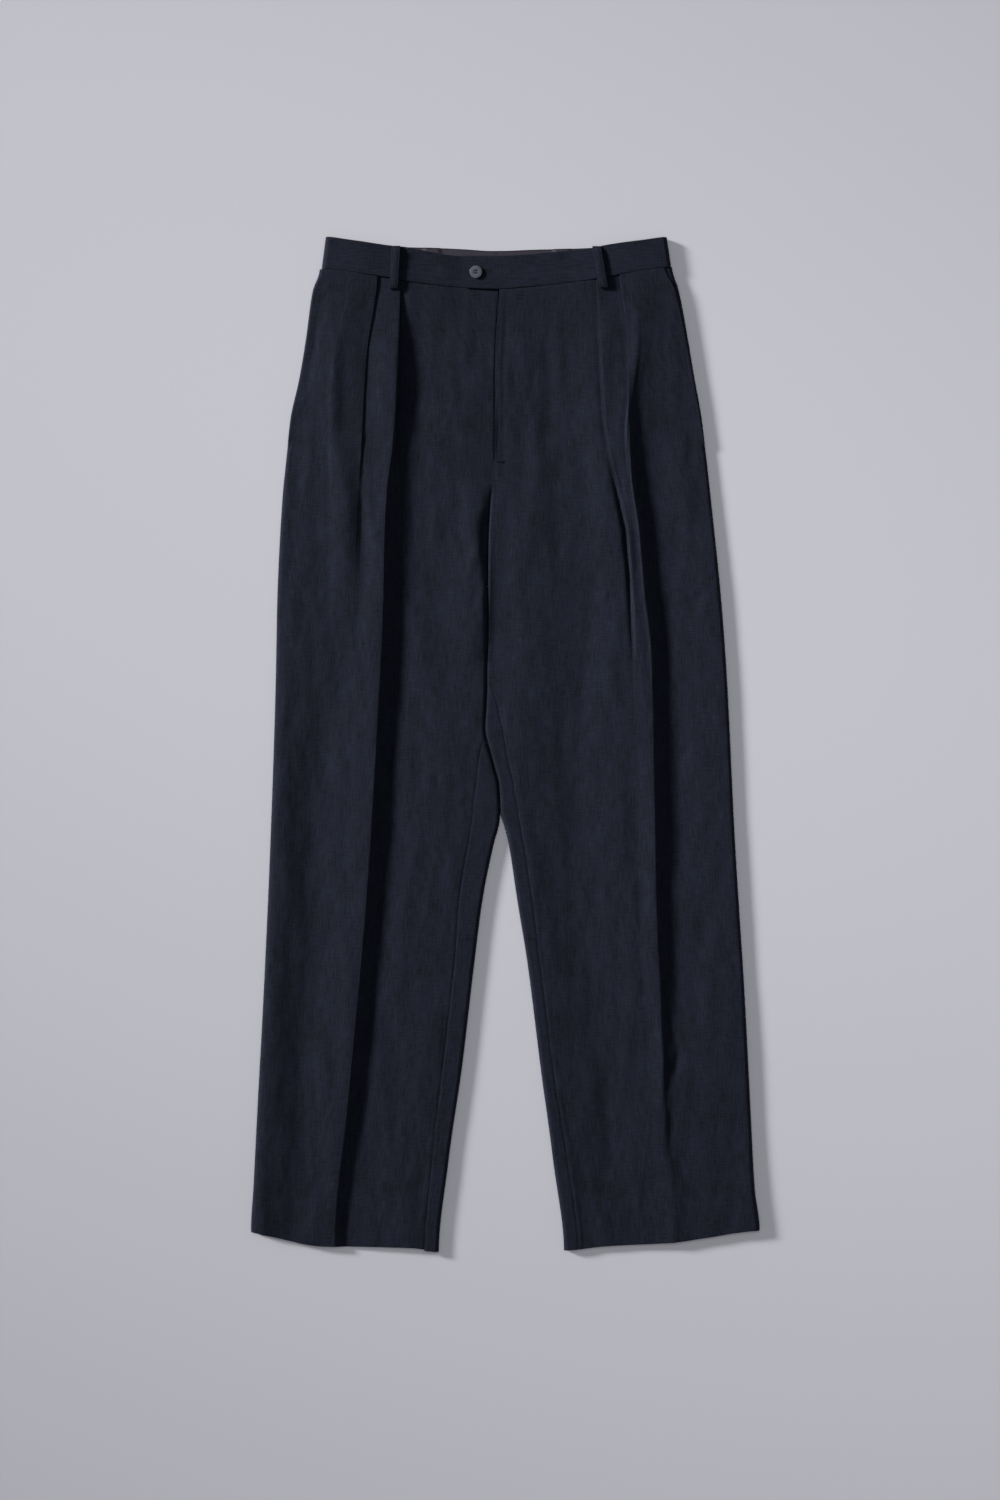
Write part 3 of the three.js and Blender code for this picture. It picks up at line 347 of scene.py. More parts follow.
# Folds of the right leg, which lies on the -X side. Paths run down the leg.
RIGHT_FOLDS = (
    Fold(((-102, 520), (-102, 463), (-100, 310), (-102, 190), (-112, 125), (-118, 48), (-122, -40)),
         -1.7, 18, 15),
    Fold(((-114, 120), (-122, 0), (-131, -150), (-144, -278), (-155, -388), (-166, -497), (-172, -600)),
         -1.2, 14, 10),
    Fold(((-33, 420), (-33, 330), (-32, 260), (-36, 180)), 1.3, 13, 26),
    Fold(((-190, 480), (-189, 400), (-187, 354), (-182, 310), (-175, 266), (-172, 223), (-178, 170)),
         2.4, 9, 15),
    Fold(((-23, 288), (-27, 262), (-33, 241), (-33, 225), (-30, 198), (-28, 176), (-27.5, 140), (-29, 90)),
         6.4, 9, 26),
    Fold(((-163, 400), (-162, 340), (-159, 290), (-156, 240), (-154, 170)), -1.3, 8, 9),
    Fold(((-252, 350), (-244, 235), (-239, 150), (-240, 60), (-246, -100), (-254, -300), (-262, -500),
          (-264, -620)), 1.5, 26, 8),
    Fold(((-190, 120), (-205, 0), (-208, -120), (-206, -220), (-219, -344), (-221, -480), (-224, -600)),
         -1.2, 22, 24),
    Fold(((-150, 330), (-147.5, 248), (-141, 194)), 0.9, 4, 6),
    Fold(((-22, 190), (-30, 165), (-40, 140)), -1.0, 4, 5),
    Fold(((-24, 225), (-36, 200), (-50, 170)), 0.8, 6, 7),
    Fold(((-60, 260), (-48, 225), (-30, 190)), -0.7, 8, 8),
    Fold(((-66, 480), (-68, 440), (-66, 395)), -0.8, 7, 9),
    Fold(((-32, 480), (-31, 440), (-34, 400)), -0.7, 6, 6),
    Fold(((-212, 360), (-218, 270), (-214, 190)), 0.7, 8, 7),
    Fold(((-212, 60), (-222, -30), (-226, -120)), 0.5, 8, 9),
    Fold(((-80, 120), (-92, 30), (-96, -60)), -0.7, 9, 10),
    Fold(((-60, 60), (-66, -10), (-72, -80)), 0.6, 7, 8),
    Fold(((-170, -60), (-184, -150), (-190, -230)), -0.5, 9, 9),
    Fold(((-232, -160), (-238, -230), (-240, -300)), -0.5, 7, 8),
    Fold(((-100, -140), (-112, -220), (-122, -300)), 0.5, 8, 10),
    Fold(((-206, -300), (-214, -380), (-222, -450)), 0.4, 9, 9),
    Fold(((-90, -330), (-98, -400), (-104, -470)), -0.5, 9, 9),
)
# Folds of the left leg, which lies on the +X side.
LEFT_FOLDS = (
    Fold(((58, 470), (62, 397), (66, 332), (76, 266), (84, 200), (85, 114), (80, 27), (82, -82),
          (84, -213), (101, -278), (111, -366), (113, -497), (114, -620)), -3.4, 26, 30),
    Fold(((22, 330), (22, 270), (24, 200), (24, 115), (20, 30), (24, -60)), 2.0, 24, 18),
    Fold(((136, 400), (142, 353), (152, 300), (162, 230), (171, 180), (177, 135), (185, 57),
          (190, -60), (190, -278), (192, -388), (188, -460)), -1.7, 26, 12),
    Fold(((105, 480), (108, 400), (112, 340), (118, 280), (126, 200)), 2.2, 12, 22),
    Fold(((3, 515), (-1, 441), (-2, 397), (-2.4, 300)), -0.6, 2.4, 2.0),
    Fold(((97, 530), (101, 441), (106, 354), (112, 315), (122.5, 273), (130, 235), (133, 200)),
         -0.9, 1.5, 2.6),
    Fold(((116, 300), (125, 262), (131, 235), (135, 190), (138.5, 140), (140.5, 90)), -3.4, 1.6, 3.8),
    Fold(((123, 530), (125, 484), (131, 430), (131, 385)), -0.7, 1.5, 3.2),
    Fold(((34.5, 419), (30, 398), (26.9, 375)), -0.7, 4, 3),
    Fold(((25, 500), (26, 490), (26, 478)), 0.6, 1.6, 1.6),
    Fold(((50, 430), (49, 375), (44, 310)), -1.1, 9, 9),
    Fold(((200, 345), (203, 320), (202, 296)), -1.0, 5, 5),
    Fold(((208, 262), (206, 234), (210, 205)), -0.9, 5, 5),
    Fold(((221, 166), (210, 160), (198, 152)), -0.9, 4, 4),
    Fold(((224, 148), (212, 140), (200, 136)), 0.7, 4, 5),
    Fold(((176, -285), (178, -308), (186, -332)), -1.6, 5, 6),
    Fold(((190, -325), (188, -343), (182, -362)), -1.5, 5, 5),
    Fold(((184, -385), (181, -419), (178, -450)), -1.2, 6, 5),
    Fold(((168, -300), (172, -340), (171, -400)), 0.8, 3, 4),
    Fold(((10, 240), (22, 190), (30, 130)), -0.6, 9, 8),
    Fold(((60, 60), (70, -20), (76, -100)), -0.5, 10, 10),
    Fold(((110, 20), (118, -60), (122, -150)), 0.5, 9, 9),
    Fold(((200, 60), (210, -20), (214, -100)), 0.6, 8, 8),
    Fold(((226, -40), (232, -120), (236, -190)), -0.6, 8, 7),
    Fold(((214, -220), (222, -300), (228, -380)), 0.5, 8, 9),
    Fold(((130, -260), (140, -330), (146, -410)), -0.6, 8, 9),
)
# Creases of the backs, which stand up inside the legs from the surface below.
BACK_FOLDS = (
    Fold(((-95, 470), (-104, 250), (-118, 40), (-140, -200), (-160, -400), (-180, -620)), 0.9, 2.5, 2.5),
    Fold(((90, 470), (100, 250), (116, 40), (138, -200), (158, -400), (178, -620)), 0.9, 2.5, 2.5),
    Fold(((-60, 380), (-80, 300), (-96, 190)), 1.1, 8, 11),
    Fold(((-178, 400), (-184, 300), (-182, 200)), 1.0, 9, 12),
    Fold(((-70, 60), (-96, -40), (-110, -150)), 1.0, 10, 8),
    Fold(((-205, -60), (-214, -190), (-216, -300)), 0.9, 9, 10),
    Fold(((-110, -330), (-124, -420), (-136, -510)), 0.7, 7, 9),
    Fold(((46, 390), (62, 290), (88, 200)), 1.1, 10, 8),
    Fold(((172, 380), (180, 270), (176, 170)), 0.9, 12, 9),
    Fold(((60, 20), (84, -90), (100, -190)), 1.1, 8, 10),
    Fold(((196, -20), (210, -130), (214, -240)), 0.8, 9, 9),
    Fold(((112, -300), (128, -400), (134, -490)), 0.8, 9, 7),
)
UNEVEN = (
    Unevenness(1.2, 26.0, 95.0, 3.0),
    Unevenness(0.6, 13.0, 42.0, 11.0),
    Unevenness(0.2, 6.5, 17.0, 23.0),
)
BACK_UNEVEN = Unevenness(0.9, 30.0, 110.0, 61.0)
BAND_UNEVEN = Unevenness(0.5, 34.0, 60.0, 41.0)
LINING_UNEVEN = Unevenness(0.25, 22.0, 18.0, 51.0)


def relief(x: np.ndarray, y: np.ndarray) -> np.ndarray:
    """Height that the folds and the cloth's unevenness add, in millimetres.

    Args:
        x, y: places on the garment, in millimetres.
    Returns:
        The added height at each place, less beside the waistband, which holds the cloth still.
    """
    total = np.zeros(x.shape)
    for fold in RIGHT_FOLDS + LEFT_FOLDS:
        total += fold.at(x, y)
    for uneven in UNEVEN:
        total += uneven.at(x, y)
    held = HELD_PART + (1.0 - HELD_PART) * (1.0 - smooth((y - HOLD_START_Y) / HOLD_RUN))
    return total * held


@dataclass(frozen=True)
class Leg:
    """Sizes of one leg."""

    side: Side
    inner: Table
    outer: Table
    pleats: tuple[Table, Table]
    heights: Table
    hem: Table
    front_hem: Table
    lift: Table

    @property
    def outward(self) -> int:
        """Sign of x on which the leg lies."""
        return self.side.value

    def waist_lift(self, x: np.ndarray, y: np.ndarray) -> np.ndarray:
        """Returns how far the front rises towards the waistband at each place."""
        near = smooth((y - LIFT_END_Y) / (WAIST_SEAM_Y - LIFT_END_Y))
        return near * self.lift.line(x)


RIGHT_LEG = Leg(
    Side.RIGHT, RIGHT_INNER, RIGHT_OUTER, (RIGHT_FIRST_PLEAT, RIGHT_SECOND_PLEAT), RIGHT_HEIGHTS,
    RIGHT_HEM, RIGHT_FRONT_HEM, RIGHT_LIFT,
)
LEFT_LEG = Leg(
    Side.LEFT, LEFT_INNER, LEFT_OUTER, (LEFT_FIRST_PLEAT, LEFT_SECOND_PLEAT), LEFT_HEIGHTS,
    LEFT_HEM, LEFT_HEM, LEFT_LIFT,
)


def curl_step(radius: float, curl: float, distance: float) -> tuple[float, float]:
    """Point on an edge that curls from flat towards upright.

    Args:
        radius: of the curl where it is full.
        curl: 0 for flat, 1 for upright.
        distance: along the cloth from where the curl begins.
    Returns:
        How far the point lies outwards, and how far down.
    """
    if curl < 0.01:
        return distance, 0.0
    bend = radius / curl
    angle = distance / bend
    return bend * math.sin(angle), bend * (1.0 - math.cos(angle))


class Section:
    """One cut across a leg. Distances u grow outwards from the middle, heights upwards."""

    CREST = 0.42
    TIGHTEST = 0.28
    SEAM_SLIT = 0.12
    PLEAT_POINTS = 17
    INNER_STEPS = (0, 0.4, 0.9, 1.6, 2.6, 3.8, 4.6, 5.2, 5.8, 6.6, 8, 10, 12)
    BELLY_POINTS = 57
    FIRST_PLEAT_AT = len(INNER_STEPS) + BELLY_POINTS

    def __init__(self, leg: Leg, y: float) -> None:
        """Reads the leg's sizes at y."""
        inner, outer, heights = leg.inner.at(y), leg.outer.at(y), leg.heights.at(y)
        out = leg.outward
        self.y = y
        self.curl, self.wrap = inner["curl"], inner["wrap"]
        other = (LEFT_INNER if leg.side is Side.RIGHT else RIGHT_INNER).at(y)
        meeting = (inner["front"] + other["front"]) / 2
        touch = smoothstep(y, *MEETING_LOW) * (1 - smoothstep(y, *MEETING_HIGH))
        self.front_u = mix(inner["front"], meeting, touch) * out
        self.back_u = mix(inner["back"], meeting, touch) * out
        self.side_u, self.pocket = outer["side"] * out, outer["pocket"]
        self.open = smoothstep(y, POCKET_CLOSED_Y, POCKET_END_Y)
        self.inner, self.side = heights["inner"], heights["side"]
        self.ridge_u, self.ridge = heights["ridge_x"] * out, heights["ridge"]
        self.valley_u, self.valley = heights["valley_x"] * out, heights["valley"]
        self.leg = leg
        self.pleats = [table.at(y) for table in leg.pleats]
        for pleat in self.pleats:
            pleat["edge"] *= out
        self.side_radius = (self.side - CLOTH / 2) / 2
        rolled = 1.0 - self.open
        full = curl_step(self.side_radius, rolled, math.pi / 2 * self.side_radius)[0]
        self.roll_start = self.side_u - self.pocket - rolled * CLOTH / 2 - full

    def inner_edge(self, edge_u: float, distance: float, flat: float, rise: int) -> tuple[float, float]:
        """Point of the leg's inner edge.

        Args:
            edge_u: where the edge is.
            distance: along the cloth from where front and back could meet.
            flat: height of the cloth beyond the curl.
            rise: -1 where the cloth curls down, 1 where it curls up.
        Returns:
            The point's u and height.
        """
        radius = (self.inner - CLOTH / 2) / 2
        quarter = math.pi / 2 * radius
        start = edge_u + 0.01 + self.curl * CLOTH / 2
        full = curl_step(radius, self.curl, quarter)[0]
        if distance >= quarter:
            return start + full + distance - quarter, flat
        along, drop = curl_step(radius, self.curl, quarter - distance)
        return start + full - along, flat + rise * drop

    def pleat_points(self, pleat: dict[str, float]) -> list[tuple[float, float]]:
        """Cloth at a pleat or crease: a soft arc, a straight run and an arc that is pressed sharper.

        Args:
            pleat: the pleat's sizes here.
        Returns:
            Points from the lower layer to the upper one.
        """
        turn = math.radians(pleat["turn"])
        edge, foot, radius = pleat["edge"], pleat["foot"], pleat["radius"]
        rise = 2 * radius * (1 - math.cos(turn)) + pleat["run"] * math.sin(turn)
        pressed = smoothstep(-pleat["turn"], -100.0, -70.0)
        crest = mix(radius, max(radius * self.CREST, self.TIGHTEST), pressed)
        run = pleat["run"]
        if pressed > 0:
            run = (rise - (radius + crest) * (1 - math.cos(turn))) / math.sin(turn)
            run = max(run, 0.3)
        top = foot + (radius + crest) * (1 - math.cos(turn)) + run * math.sin(turn)
        start_u = edge - (radius + crest) * math.sin(turn) - run * math.cos(turn)
        parts = (0.0, 0.17, 0.33, 0.5, 0.67, 0.83, 1.0)
        lower = [
            (start_u + radius * math.sin(a * turn), foot + radius * (1 - math.cos(a * turn)))
            for a in parts
        ]
        upper = [
            (edge - crest * math.sin(a * turn), top - crest * (1 - math.cos(a * turn)))
            for a in reversed(parts)
        ]
        middle = [
            (mix(lower[-1][0], upper[0][0], t), mix(lower[-1][1], upper[0][1], t))
            for t in (0.25, 0.5, 0.75)
        ]
        return lower + middle + upper

    def front_points(self) -> list[tuple[float, float]]:
        """Returns the front panel's cloth from its inner seam over both pleats to the side."""
        seam = self.wrap + self.SEAM_SLIT * self.curl
        first, second = (self.pleat_points(pleat) for pleat in self.pleats)
        points = [
            self.inner_edge(self.front_u, seam + d, self.inner, -1)
            for d in self.INNER_STEPS
        ]
        points += eased(points[-1], first[0], self.BELLY_POINTS, 1.5)
        points += first
        points += eased(first[-1], second[0], 12)
        points += second
        last = second[-1]
        keys, heights = self.flank_knots(last)
        parts = [(last[0], self.ridge_u, 8), (self.ridge_u, self.valley_u, 14),
                 (self.valley_u, self.roll_start, 20)]
        for low, high, count in parts:
            us = np.linspace(low, high, count + 1)[1:]
            points += list(zip(us.tolist(), curve(keys, heights, us).tolist()))
        points = self.run_out(points)
        quarter = math.pi / 2 * self.side_radius - self.SEAM_SLIT
        for part in (0.15, 0.3, 0.45, 0.6, 0.74, 0.86, 0.94, 1.0):
            along, drop = curl_step(self.side_radius, 1 - self.open, part * quarter)
            points.append((self.roll_start + along, self.side - drop))
        return points

    def flank_knots(self, last: tuple[float, float]) -> tuple[list[float], list[float]]:
        """Returns the places and heights between which the cloth runs from the second pleat to the side."""
        shoulder_u = mix(self.ridge_u, self.valley_u, 0.3)
        shoulder = mix(self.ridge, self.valley, 0.5)
        keys = [last[0], self.ridge_u, shoulder_u, self.valley_u, self.roll_start]
        return keys, [last[1], self.ridge, shoulder, self.valley, self.side]

    def run_out(self, points: list[tuple[float, float]]) -> list[tuple[float, float]]:
        """Smooths the cloth beside the crease, below where the pleats have run out.

        Args:
            points: u and height of the cloth up to where it rolls round the side.
        Returns:
            The points with their new heights.
        """
        if self.leg.side is Side.RIGHT:
            begin = self.FIRST_PLEAT_AT + self.PLEAT_POINTS - 1
            flank = RIGHT_FLANK.at(self.y)
            valley_u, valley = -flank["valley_x"], flank["valley"]
            start_u, start = points[begin]
            keys = [start_u, mix(start_u, valley_u, 0.5), valley_u, self.roll_start]
            heights = [start, mix(start, valley, 0.5), valley, self.side]
            part = 1 - smoothstep(self.y, 60.0, 170.0)
        else:
            begin = self.FIRST_PLEAT_AT
            keys, heights = self.flank_knots(points[begin])
            part = 1 - smoothstep(self.y, 20.0, 110.0)
        if part <= 0:
            return points
        us = np.array([u for u, _ in points[begin:]])
        calm = curve(keys, heights, us)
        eased_points = [(u, mix(z, float(c), part)) for (u, z), c in zip(points[begin:], calm)]
        return points[:begin] + eased_points

    def back_points(self) -> list[tuple[float, float]]:
        """Returns the back panel's cloth from its inner seam, round under the leg, to the side seam."""
        floor = CLOTH / 2
        radius = (self.inner - floor) / 2
        seam = self.wrap - self.SEAM_SLIT * self.curl
        wrap_end = -(math.pi / 2) * radius - 4
        edge = mix(self.back_u, self.front_u, self.curl)
        points = []
        for part in np.linspace(0, 1, 31) ** 1.15:
            distance = mix(seam, wrap_end, float(part))
            over = distance >= 0
            points.append(self.inner_edge(
                edge, abs(distance), self.inner if over else floor, -1 if over else 1
            ))
        side_top = self.side - self.open * LAYER_STEP
        bend = (side_top - floor) / 2
        roll_start = self.side_u - CLOTH / 2 - bend
        for u in np.linspace(points[-1][0], roll_start, 43)[1:]:
            points.append((float(u), floor))
        quarter = math.pi / 2 * bend - self.SEAM_SLIT
        for part in (0.15, 0.3, 0.45, 0.6, 0.74, 0.86, 0.94, 1.0):
            along, drop = curl_step(bend, 1.0, part * quarter)
            points.append((roll_start + along, floor + drop))
        return points

    def top_at(self, u: float) -> float:
        """Returns the height of the highest layer of the front at a distance u."""
        points = self.front_points()
        top = 0.0
        for (au, az), (bu, bz) in zip(points, points[1:]):
            if min(au, bu) <= u <= max(au, bu) and au != bu:
                top = max(top, mix(az, bz, (u - au) / (bu - au)))
        return top


def eased(
    start: tuple[float, float], end: tuple[float, float], count: int, closing: float = 1.0
) -> list[tuple[float, float]]:
    """Points between two places, level at both.

    Args:
        start, end: u and height of the two places.
        count: how many points to give.
        closing: 1 for even steps, more for steps that grow shorter towards the end.
    Returns:
        The points, without the two places.
    """
    parts = 1 - np.linspace(1, 0, count + 2)[1:-1] ** closing
    us = start[0] + (end[0] - start[0]) * parts
    zs = start[1] + (end[1] - start[1]) * smooth(parts)
    return list(zip(us.tolist(), zs.tolist()))


def place_rows(leg: Leg, ys: np.ndarray, sections: np.ndarray, seam: Table, hem: Table) -> np.ndarray:
    """Puts sections in space and bends the panel's ends to the waist seam and the hem.

    Args:
        leg: the leg they belong to.
        ys: y of each section.
        sections: u and height of each point of each section.
        seam, hem: the edges that the panel's top and bottom follow.
    Returns:
        Points in millimetres, one row for each section.
    """
    x = sections[..., 0] * leg.outward
    y = np.repeat(ys[:, None], x.shape[1], axis=1)
    near_waist = smooth((y - WAIST_BLEND_Y) / (WAIST_SEAM_Y - WAIST_BLEND_Y))
    near_hem = 1 - smooth((y - HEM_Y) / (HEM_BLEND_Y - HEM_Y))
    shift = near_waist * (seam.line(x) - 0.1 - WAIST_SEAM_Y)
    shift = shift + near_hem * (hem.line(x) - HEM_Y)
    return np.stack([x, y + shift, sections[..., 1]], axis=-1)


def leg_rows(spacing: float) -> np.ndarray:
    """Returns the y of a panel's rows from the waist to the hem, closer beside both ends."""
    close = np.array([0.0, 0.5, 1.1, 1.9, 3.0])
    inside = np.arange(WAIST_SEAM_Y - 3.0 - spacing, HEM_Y + 3.0 + spacing / 2, -spacing)
    return np.concatenate([WAIST_SEAM_Y - close, inside, HEM_Y + close[::-1]])


def normals_of(rows: np.ndarray, up: bool) -> np.ndarray:
    """Unit normals of a sheet of points.

    Args:
        rows: the points.
        up: whether the middle of the sheet faces up.
    Returns:
        A normal for each point.
    """
    across = np.gradient(rows, axis=1)
    along = np.gradient(rows, axis=0)
    normal = np.cross(across, along)
    normal /= np.maximum(np.linalg.norm(normal, axis=-1, keepdims=True), 1e-9)
    if (normal[..., 2].mean() > 0) != up:
        normal = -normal
    return normal


def dip_edges(
    rows: np.ndarray, up: bool, edges: dict[str, tuple[float | np.ndarray, float]]
) -> np.ndarray:
    """Lets a sheet dip towards a seam along its edges.

    Args:
        rows: the sheet's points, in millimetres.
        up: whether the middle of the sheet faces up.
        edges: depth, one or one for each row, and width of the dip at the "first" or "last"
            point of each row, or along the "top" or "bottom" row.
    Returns:
        The moved points.
    """
    normal = normals_of(rows, up)
    across = np.linalg.norm(np.diff(rows, axis=1), axis=-1)
    across = np.concatenate([np.zeros((len(rows), 1)), np.cumsum(across, axis=1)], axis=1)
    along = np.linalg.norm(np.diff(rows, axis=0), axis=-1)
    along = np.concatenate([np.zeros((1, rows.shape[1])), np.cumsum(along, axis=0)], axis=0)
    gaps = {
        "first": across, "last": across[:, -1:] - across,
        "top": along, "bottom": along[-1:] - along,
    }
    total = np.zeros(rows.shape[:2])
    for name, (depth, width) in edges.items():
        total += np.reshape(depth, (-1, 1)) * np.exp(-((gaps[name] / width) ** 2))
    return rows - normal * total[..., None]


def thread_map(rows: np.ndarray, column: int) -> np.ndarray:
    """Place of each point along the cloth's threads.

    Args:
        rows: the sheet's points, in millimetres.
        column: the point of each row that lies on one thread.
    Returns:
        Metres across and along the cloth for each point.
    """
    across = np.linalg.norm(np.diff(rows, axis=1), axis=-1)
    across = np.concatenate([np.zeros((len(rows), 1)), np.cumsum(across, axis=1)], axis=1)
    across -= across[:, column:column + 1]
    along = rows[..., 1]
    return np.stack([across * MM, along * MM], axis=-1)


def deselect() -> None:
    """Deselects every object."""
    bpy.ops.object.select_all(action="DESELECT")


def activate(obj: bpy.types.Object) -> None:
    """Makes an object the only one that is selected, and the active one.

    Args:
        obj: the object.
    """
    deselect()
    obj.select_set(True)
    bpy.context.view_layer.objects.active = obj


def apply_modifier(obj: bpy.types.Object, kind: str, **settings: object) -> None:
    """Adds one modifier to an object and applies it.

    Args:
        obj: the object.
        kind: Blender's name for the kind of modifier.
        settings: its settings.
    """
    activate(obj)
    modifier = obj.modifiers.new(kind.title(), kind)
    for name, value in settings.items():
        setattr(modifier, name, value)
    bpy.ops.object.modifier_apply(modifier=modifier.name)


def settle(obj: bpy.types.Object) -> None:
    """Puts an object's place, turn and size into its mesh."""
    activate(obj)
    bpy.ops.object.transform_apply(location=True, rotation=True, scale=True)


def join(objects: list[bpy.types.Object], name: str) -> bpy.types.Object:
    """Joins objects into the first one, under a new name, and returns it."""
    deselect()
    for obj in objects:
        obj.select_set(True)
    bpy.context.view_layer.objects.active = objects[0]
    if len(objects) > 1:
        bpy.ops.object.join()
    objects[0].name = name
    return objects[0]


@dataclass(frozen=True)
class Sheet:
    """Thin shell of cloth through a sheet of points in millimetres."""

    name: str
    thickness: float
    bevel: float = 0.0
    BEVEL_ANGLE = math.radians(60)
    SMOOTH_ANGLE = math.radians(50)

    def build(self, rows: np.ndarray, threads: np.ndarray) -> bpy.types.Object:
        """Shapes a grid to the points and gives it its thickness.

        Args:
            rows: the points.
            threads: place of each point along the cloth's threads, in metres.
        Returns:
            The finished object.
        """
        count_y, count_x = rows.shape[:2]
        deselect()
        bpy.ops.mesh.primitive_grid_add(x_subdivisions=count_x - 1, y_subdivisions=count_y - 1, size=1)
        obj = bpy.context.object
        obj.name = self.name
        mesh = obj.data
        flat = np.empty(len(mesh.vertices) * 3)
        mesh.vertices.foreach_get("co", flat)
        flat = flat.reshape(-1, 3)
        i = np.rint((flat[:, 1] + 0.5) * (count_y - 1)).astype(int)
        j = np.rint((flat[:, 0] + 0.5) * (count_x - 1)).astype(int)
        mesh.vertices.foreach_set("co", (rows[i, j] * MM).ravel())
        corners = np.empty(len(mesh.loops), dtype=int)
        mesh.loops.foreach_get("vertex_index", corners)
        mesh.uv_layers.active.data.foreach_set("uv", threads[i, j][corners].ravel())
        mesh.update()
        apply_modifier(
            obj, "SOLIDIFY", thickness=self.thickness * MM, offset=0.0, use_even_offset=False,
            thickness_clamp=0.0,
        )
        if self.bevel:
            apply_modifier(
                obj, "BEVEL", width=self.bevel * MM, segments=2, limit_method="ANGLE",
                angle_limit=self.BEVEL_ANGLE,
            )
        activate(obj)
        bpy.ops.object.shade_smooth_by_angle(angle=self.SMOOTH_ANGLE)
        return obj


def linear(colour: str) -> tuple[float, float, float, float]:
    """Turns an sRGB hex colour into linear red, green, blue and full alpha."""
    parts = [int(colour[i:i + 2], 16) / 255 for i in (1, 3, 5)]
    return (*[p / 12.92 if p <= 0.04045 else ((p + 0.055) / 1.055) ** 2.4 for p in parts], 1.0)


def add_node(
    tree: bpy.types.NodeTree, kind: str, inputs: dict | None = None, **settings: object
) -> bpy.types.Node:
    """Adds a shader node.

    Args:
        tree: the material's or world's node tree.
        kind: Blender's name for the node.
        inputs: a constant or an output socket to link, for each input by name or number.
        settings: the node's own settings.
    Returns:
        The node.
    """
    node = tree.nodes.new(kind)
    for name, value in settings.items():
        setattr(node, name, value)
    for name, value in (inputs or {}).items():
        if isinstance(value, bpy.types.NodeSocket):
            tree.links.new(value, node.inputs[name])
        else:
            node.inputs[name].default_value = value
    return node


def new_material(name: str) -> tuple[bpy.types.Material, bpy.types.NodeTree, bpy.types.Node]:
    """Returns a new material with its empty node tree and its output node."""
    material = bpy.data.materials.new(name)
    material.use_nodes = True
    material.node_tree.nodes.clear()
    return material, material.node_tree, material.node_tree.nodes.new("ShaderNodeOutputMaterial")


def two_tones(
    tree: bpy.types.NodeTree, part: bpy.types.NodeSocket, dark: str, light: str
) -> bpy.types.NodeSocket:
    """Colour between a dark tone and a light one.

    Args:
        tree: the material's node tree.
        part: 0 where the colour is dark, 1 where it is light.
        dark, light: the tones as sRGB hex colours.
    Returns:
        The colour.
    """
    both = add_node(
        tree, "ShaderNodeMix", {0: part, 6: linear(dark), 7: linear(light)}, data_type="RGBA"
    )
    return both.outputs[2]


def fine_relief(
    tree: bpy.types.NodeTree, height: bpy.types.NodeSocket, strength: float, depth: float
) -> bpy.types.NodeSocket:
    """Normal of a surface with relief too fine for the mesh.

    Args:
        tree: the material's node tree.
        height: the relief, from 0 to 1.
        strength: how much of it shows.
        depth: of the relief, in millimetres.
    Returns:
        The normal.
    """
    bump = add_node(
        tree, "ShaderNodeBump", {"Height": height, "Strength": strength, "Distance": depth * MM}
    )
    return bump.outputs[0]


def end_in_surface(tree: bpy.types.NodeTree, output: bpy.types.Node, inputs: dict) -> None:
    """Ends a material in one principled surface.

    Args:
        tree: the material's node tree.
        output: its output node.
        inputs: the surface's inputs by name.
    """
    surface = add_node(tree, "ShaderNodeBsdfPrincipled", inputs)
    tree.links.new(surface.outputs[0], output.inputs["Surface"])


@dataclass(frozen=True)
class SuitingFinish:
    """Linen and wool suiting, plain woven and pressed: matt, with slubs that lie along both threads.

    The threads are 0.45 mm apart. They are drawn 1.4 mm apart, the finest that the picture shows.
    """

    name: str = "linen_wool_suiting"
    dark: str = "#12151f"
    light: str = "#242a3c"
    sheen: str = "#8f97ad"
    drawn_thread: float = 1.4
    slub_length: float = 17.0
    patch: float = 42.0

    def material(self) -> bpy.types.Material:
        """Returns the cloth's material."""
        material, tree, output = new_material(self.name)
        uv = add_node(tree, "ShaderNodeTexCoord").outputs["UV"]
        thread, slub, patch = self.drawn_thread * MM, self.slub_length * MM, self.patch * MM

        def cloth_noise(across: float, along: float, detail: float) -> bpy.types.NodeSocket:
            """Returns noise whose grain is across by along metres on the cloth."""
            place = add_node(
                tree, "ShaderNodeMapping", {"Vector": uv, "Scale": (1 / across, 1 / along, 1.0)}
            )
            grain = add_node(
                tree, "ShaderNodeTexNoise",
                {"Vector": place.outputs[0], "Scale": 1.0, "Detail": detail, "Roughness": 0.6},
            )
            return grain.outputs["Fac"]

        def blend(a: bpy.types.NodeSocket, b: bpy.types.NodeSocket, part: float) -> bpy.types.NodeSocket:
            """Returns two greys mixed, with part of the second one."""
            both = add_node(tree, "ShaderNodeMix", {0: part, 2: a, 3: b}, data_type="FLOAT")
            return both.outputs[0]

        warp = cloth_noise(thread, slub, 2.0)
        weft = cloth_noise(slub * 0.7, thread, 2.0)
        grain = blend(warp, weft, 0.42)
        broad = cloth_noise(patch * 0.4, patch, 2.0)
        tone = blend(grain, broad, 0.22)
        spread = add_node(
            tree, "ShaderNodeMapRange", {"Value": tone, "From Min": 0.38, "From Max": 0.62}
        )
        end_in_surface(tree, output, {
            "Base Color": two_tones(tree, spread.outputs[0], self.dark, self.light),
            "Roughness": 0.9, "IOR": 1.5, "Specular IOR Level": 0.25,
            "Sheen Weight": 0.1, "Sheen Roughness": 0.5, "Sheen Tint": linear(self.sheen),
            "Normal": fine_relief(tree, grain, 0.55, 0.5),
        })
        return material


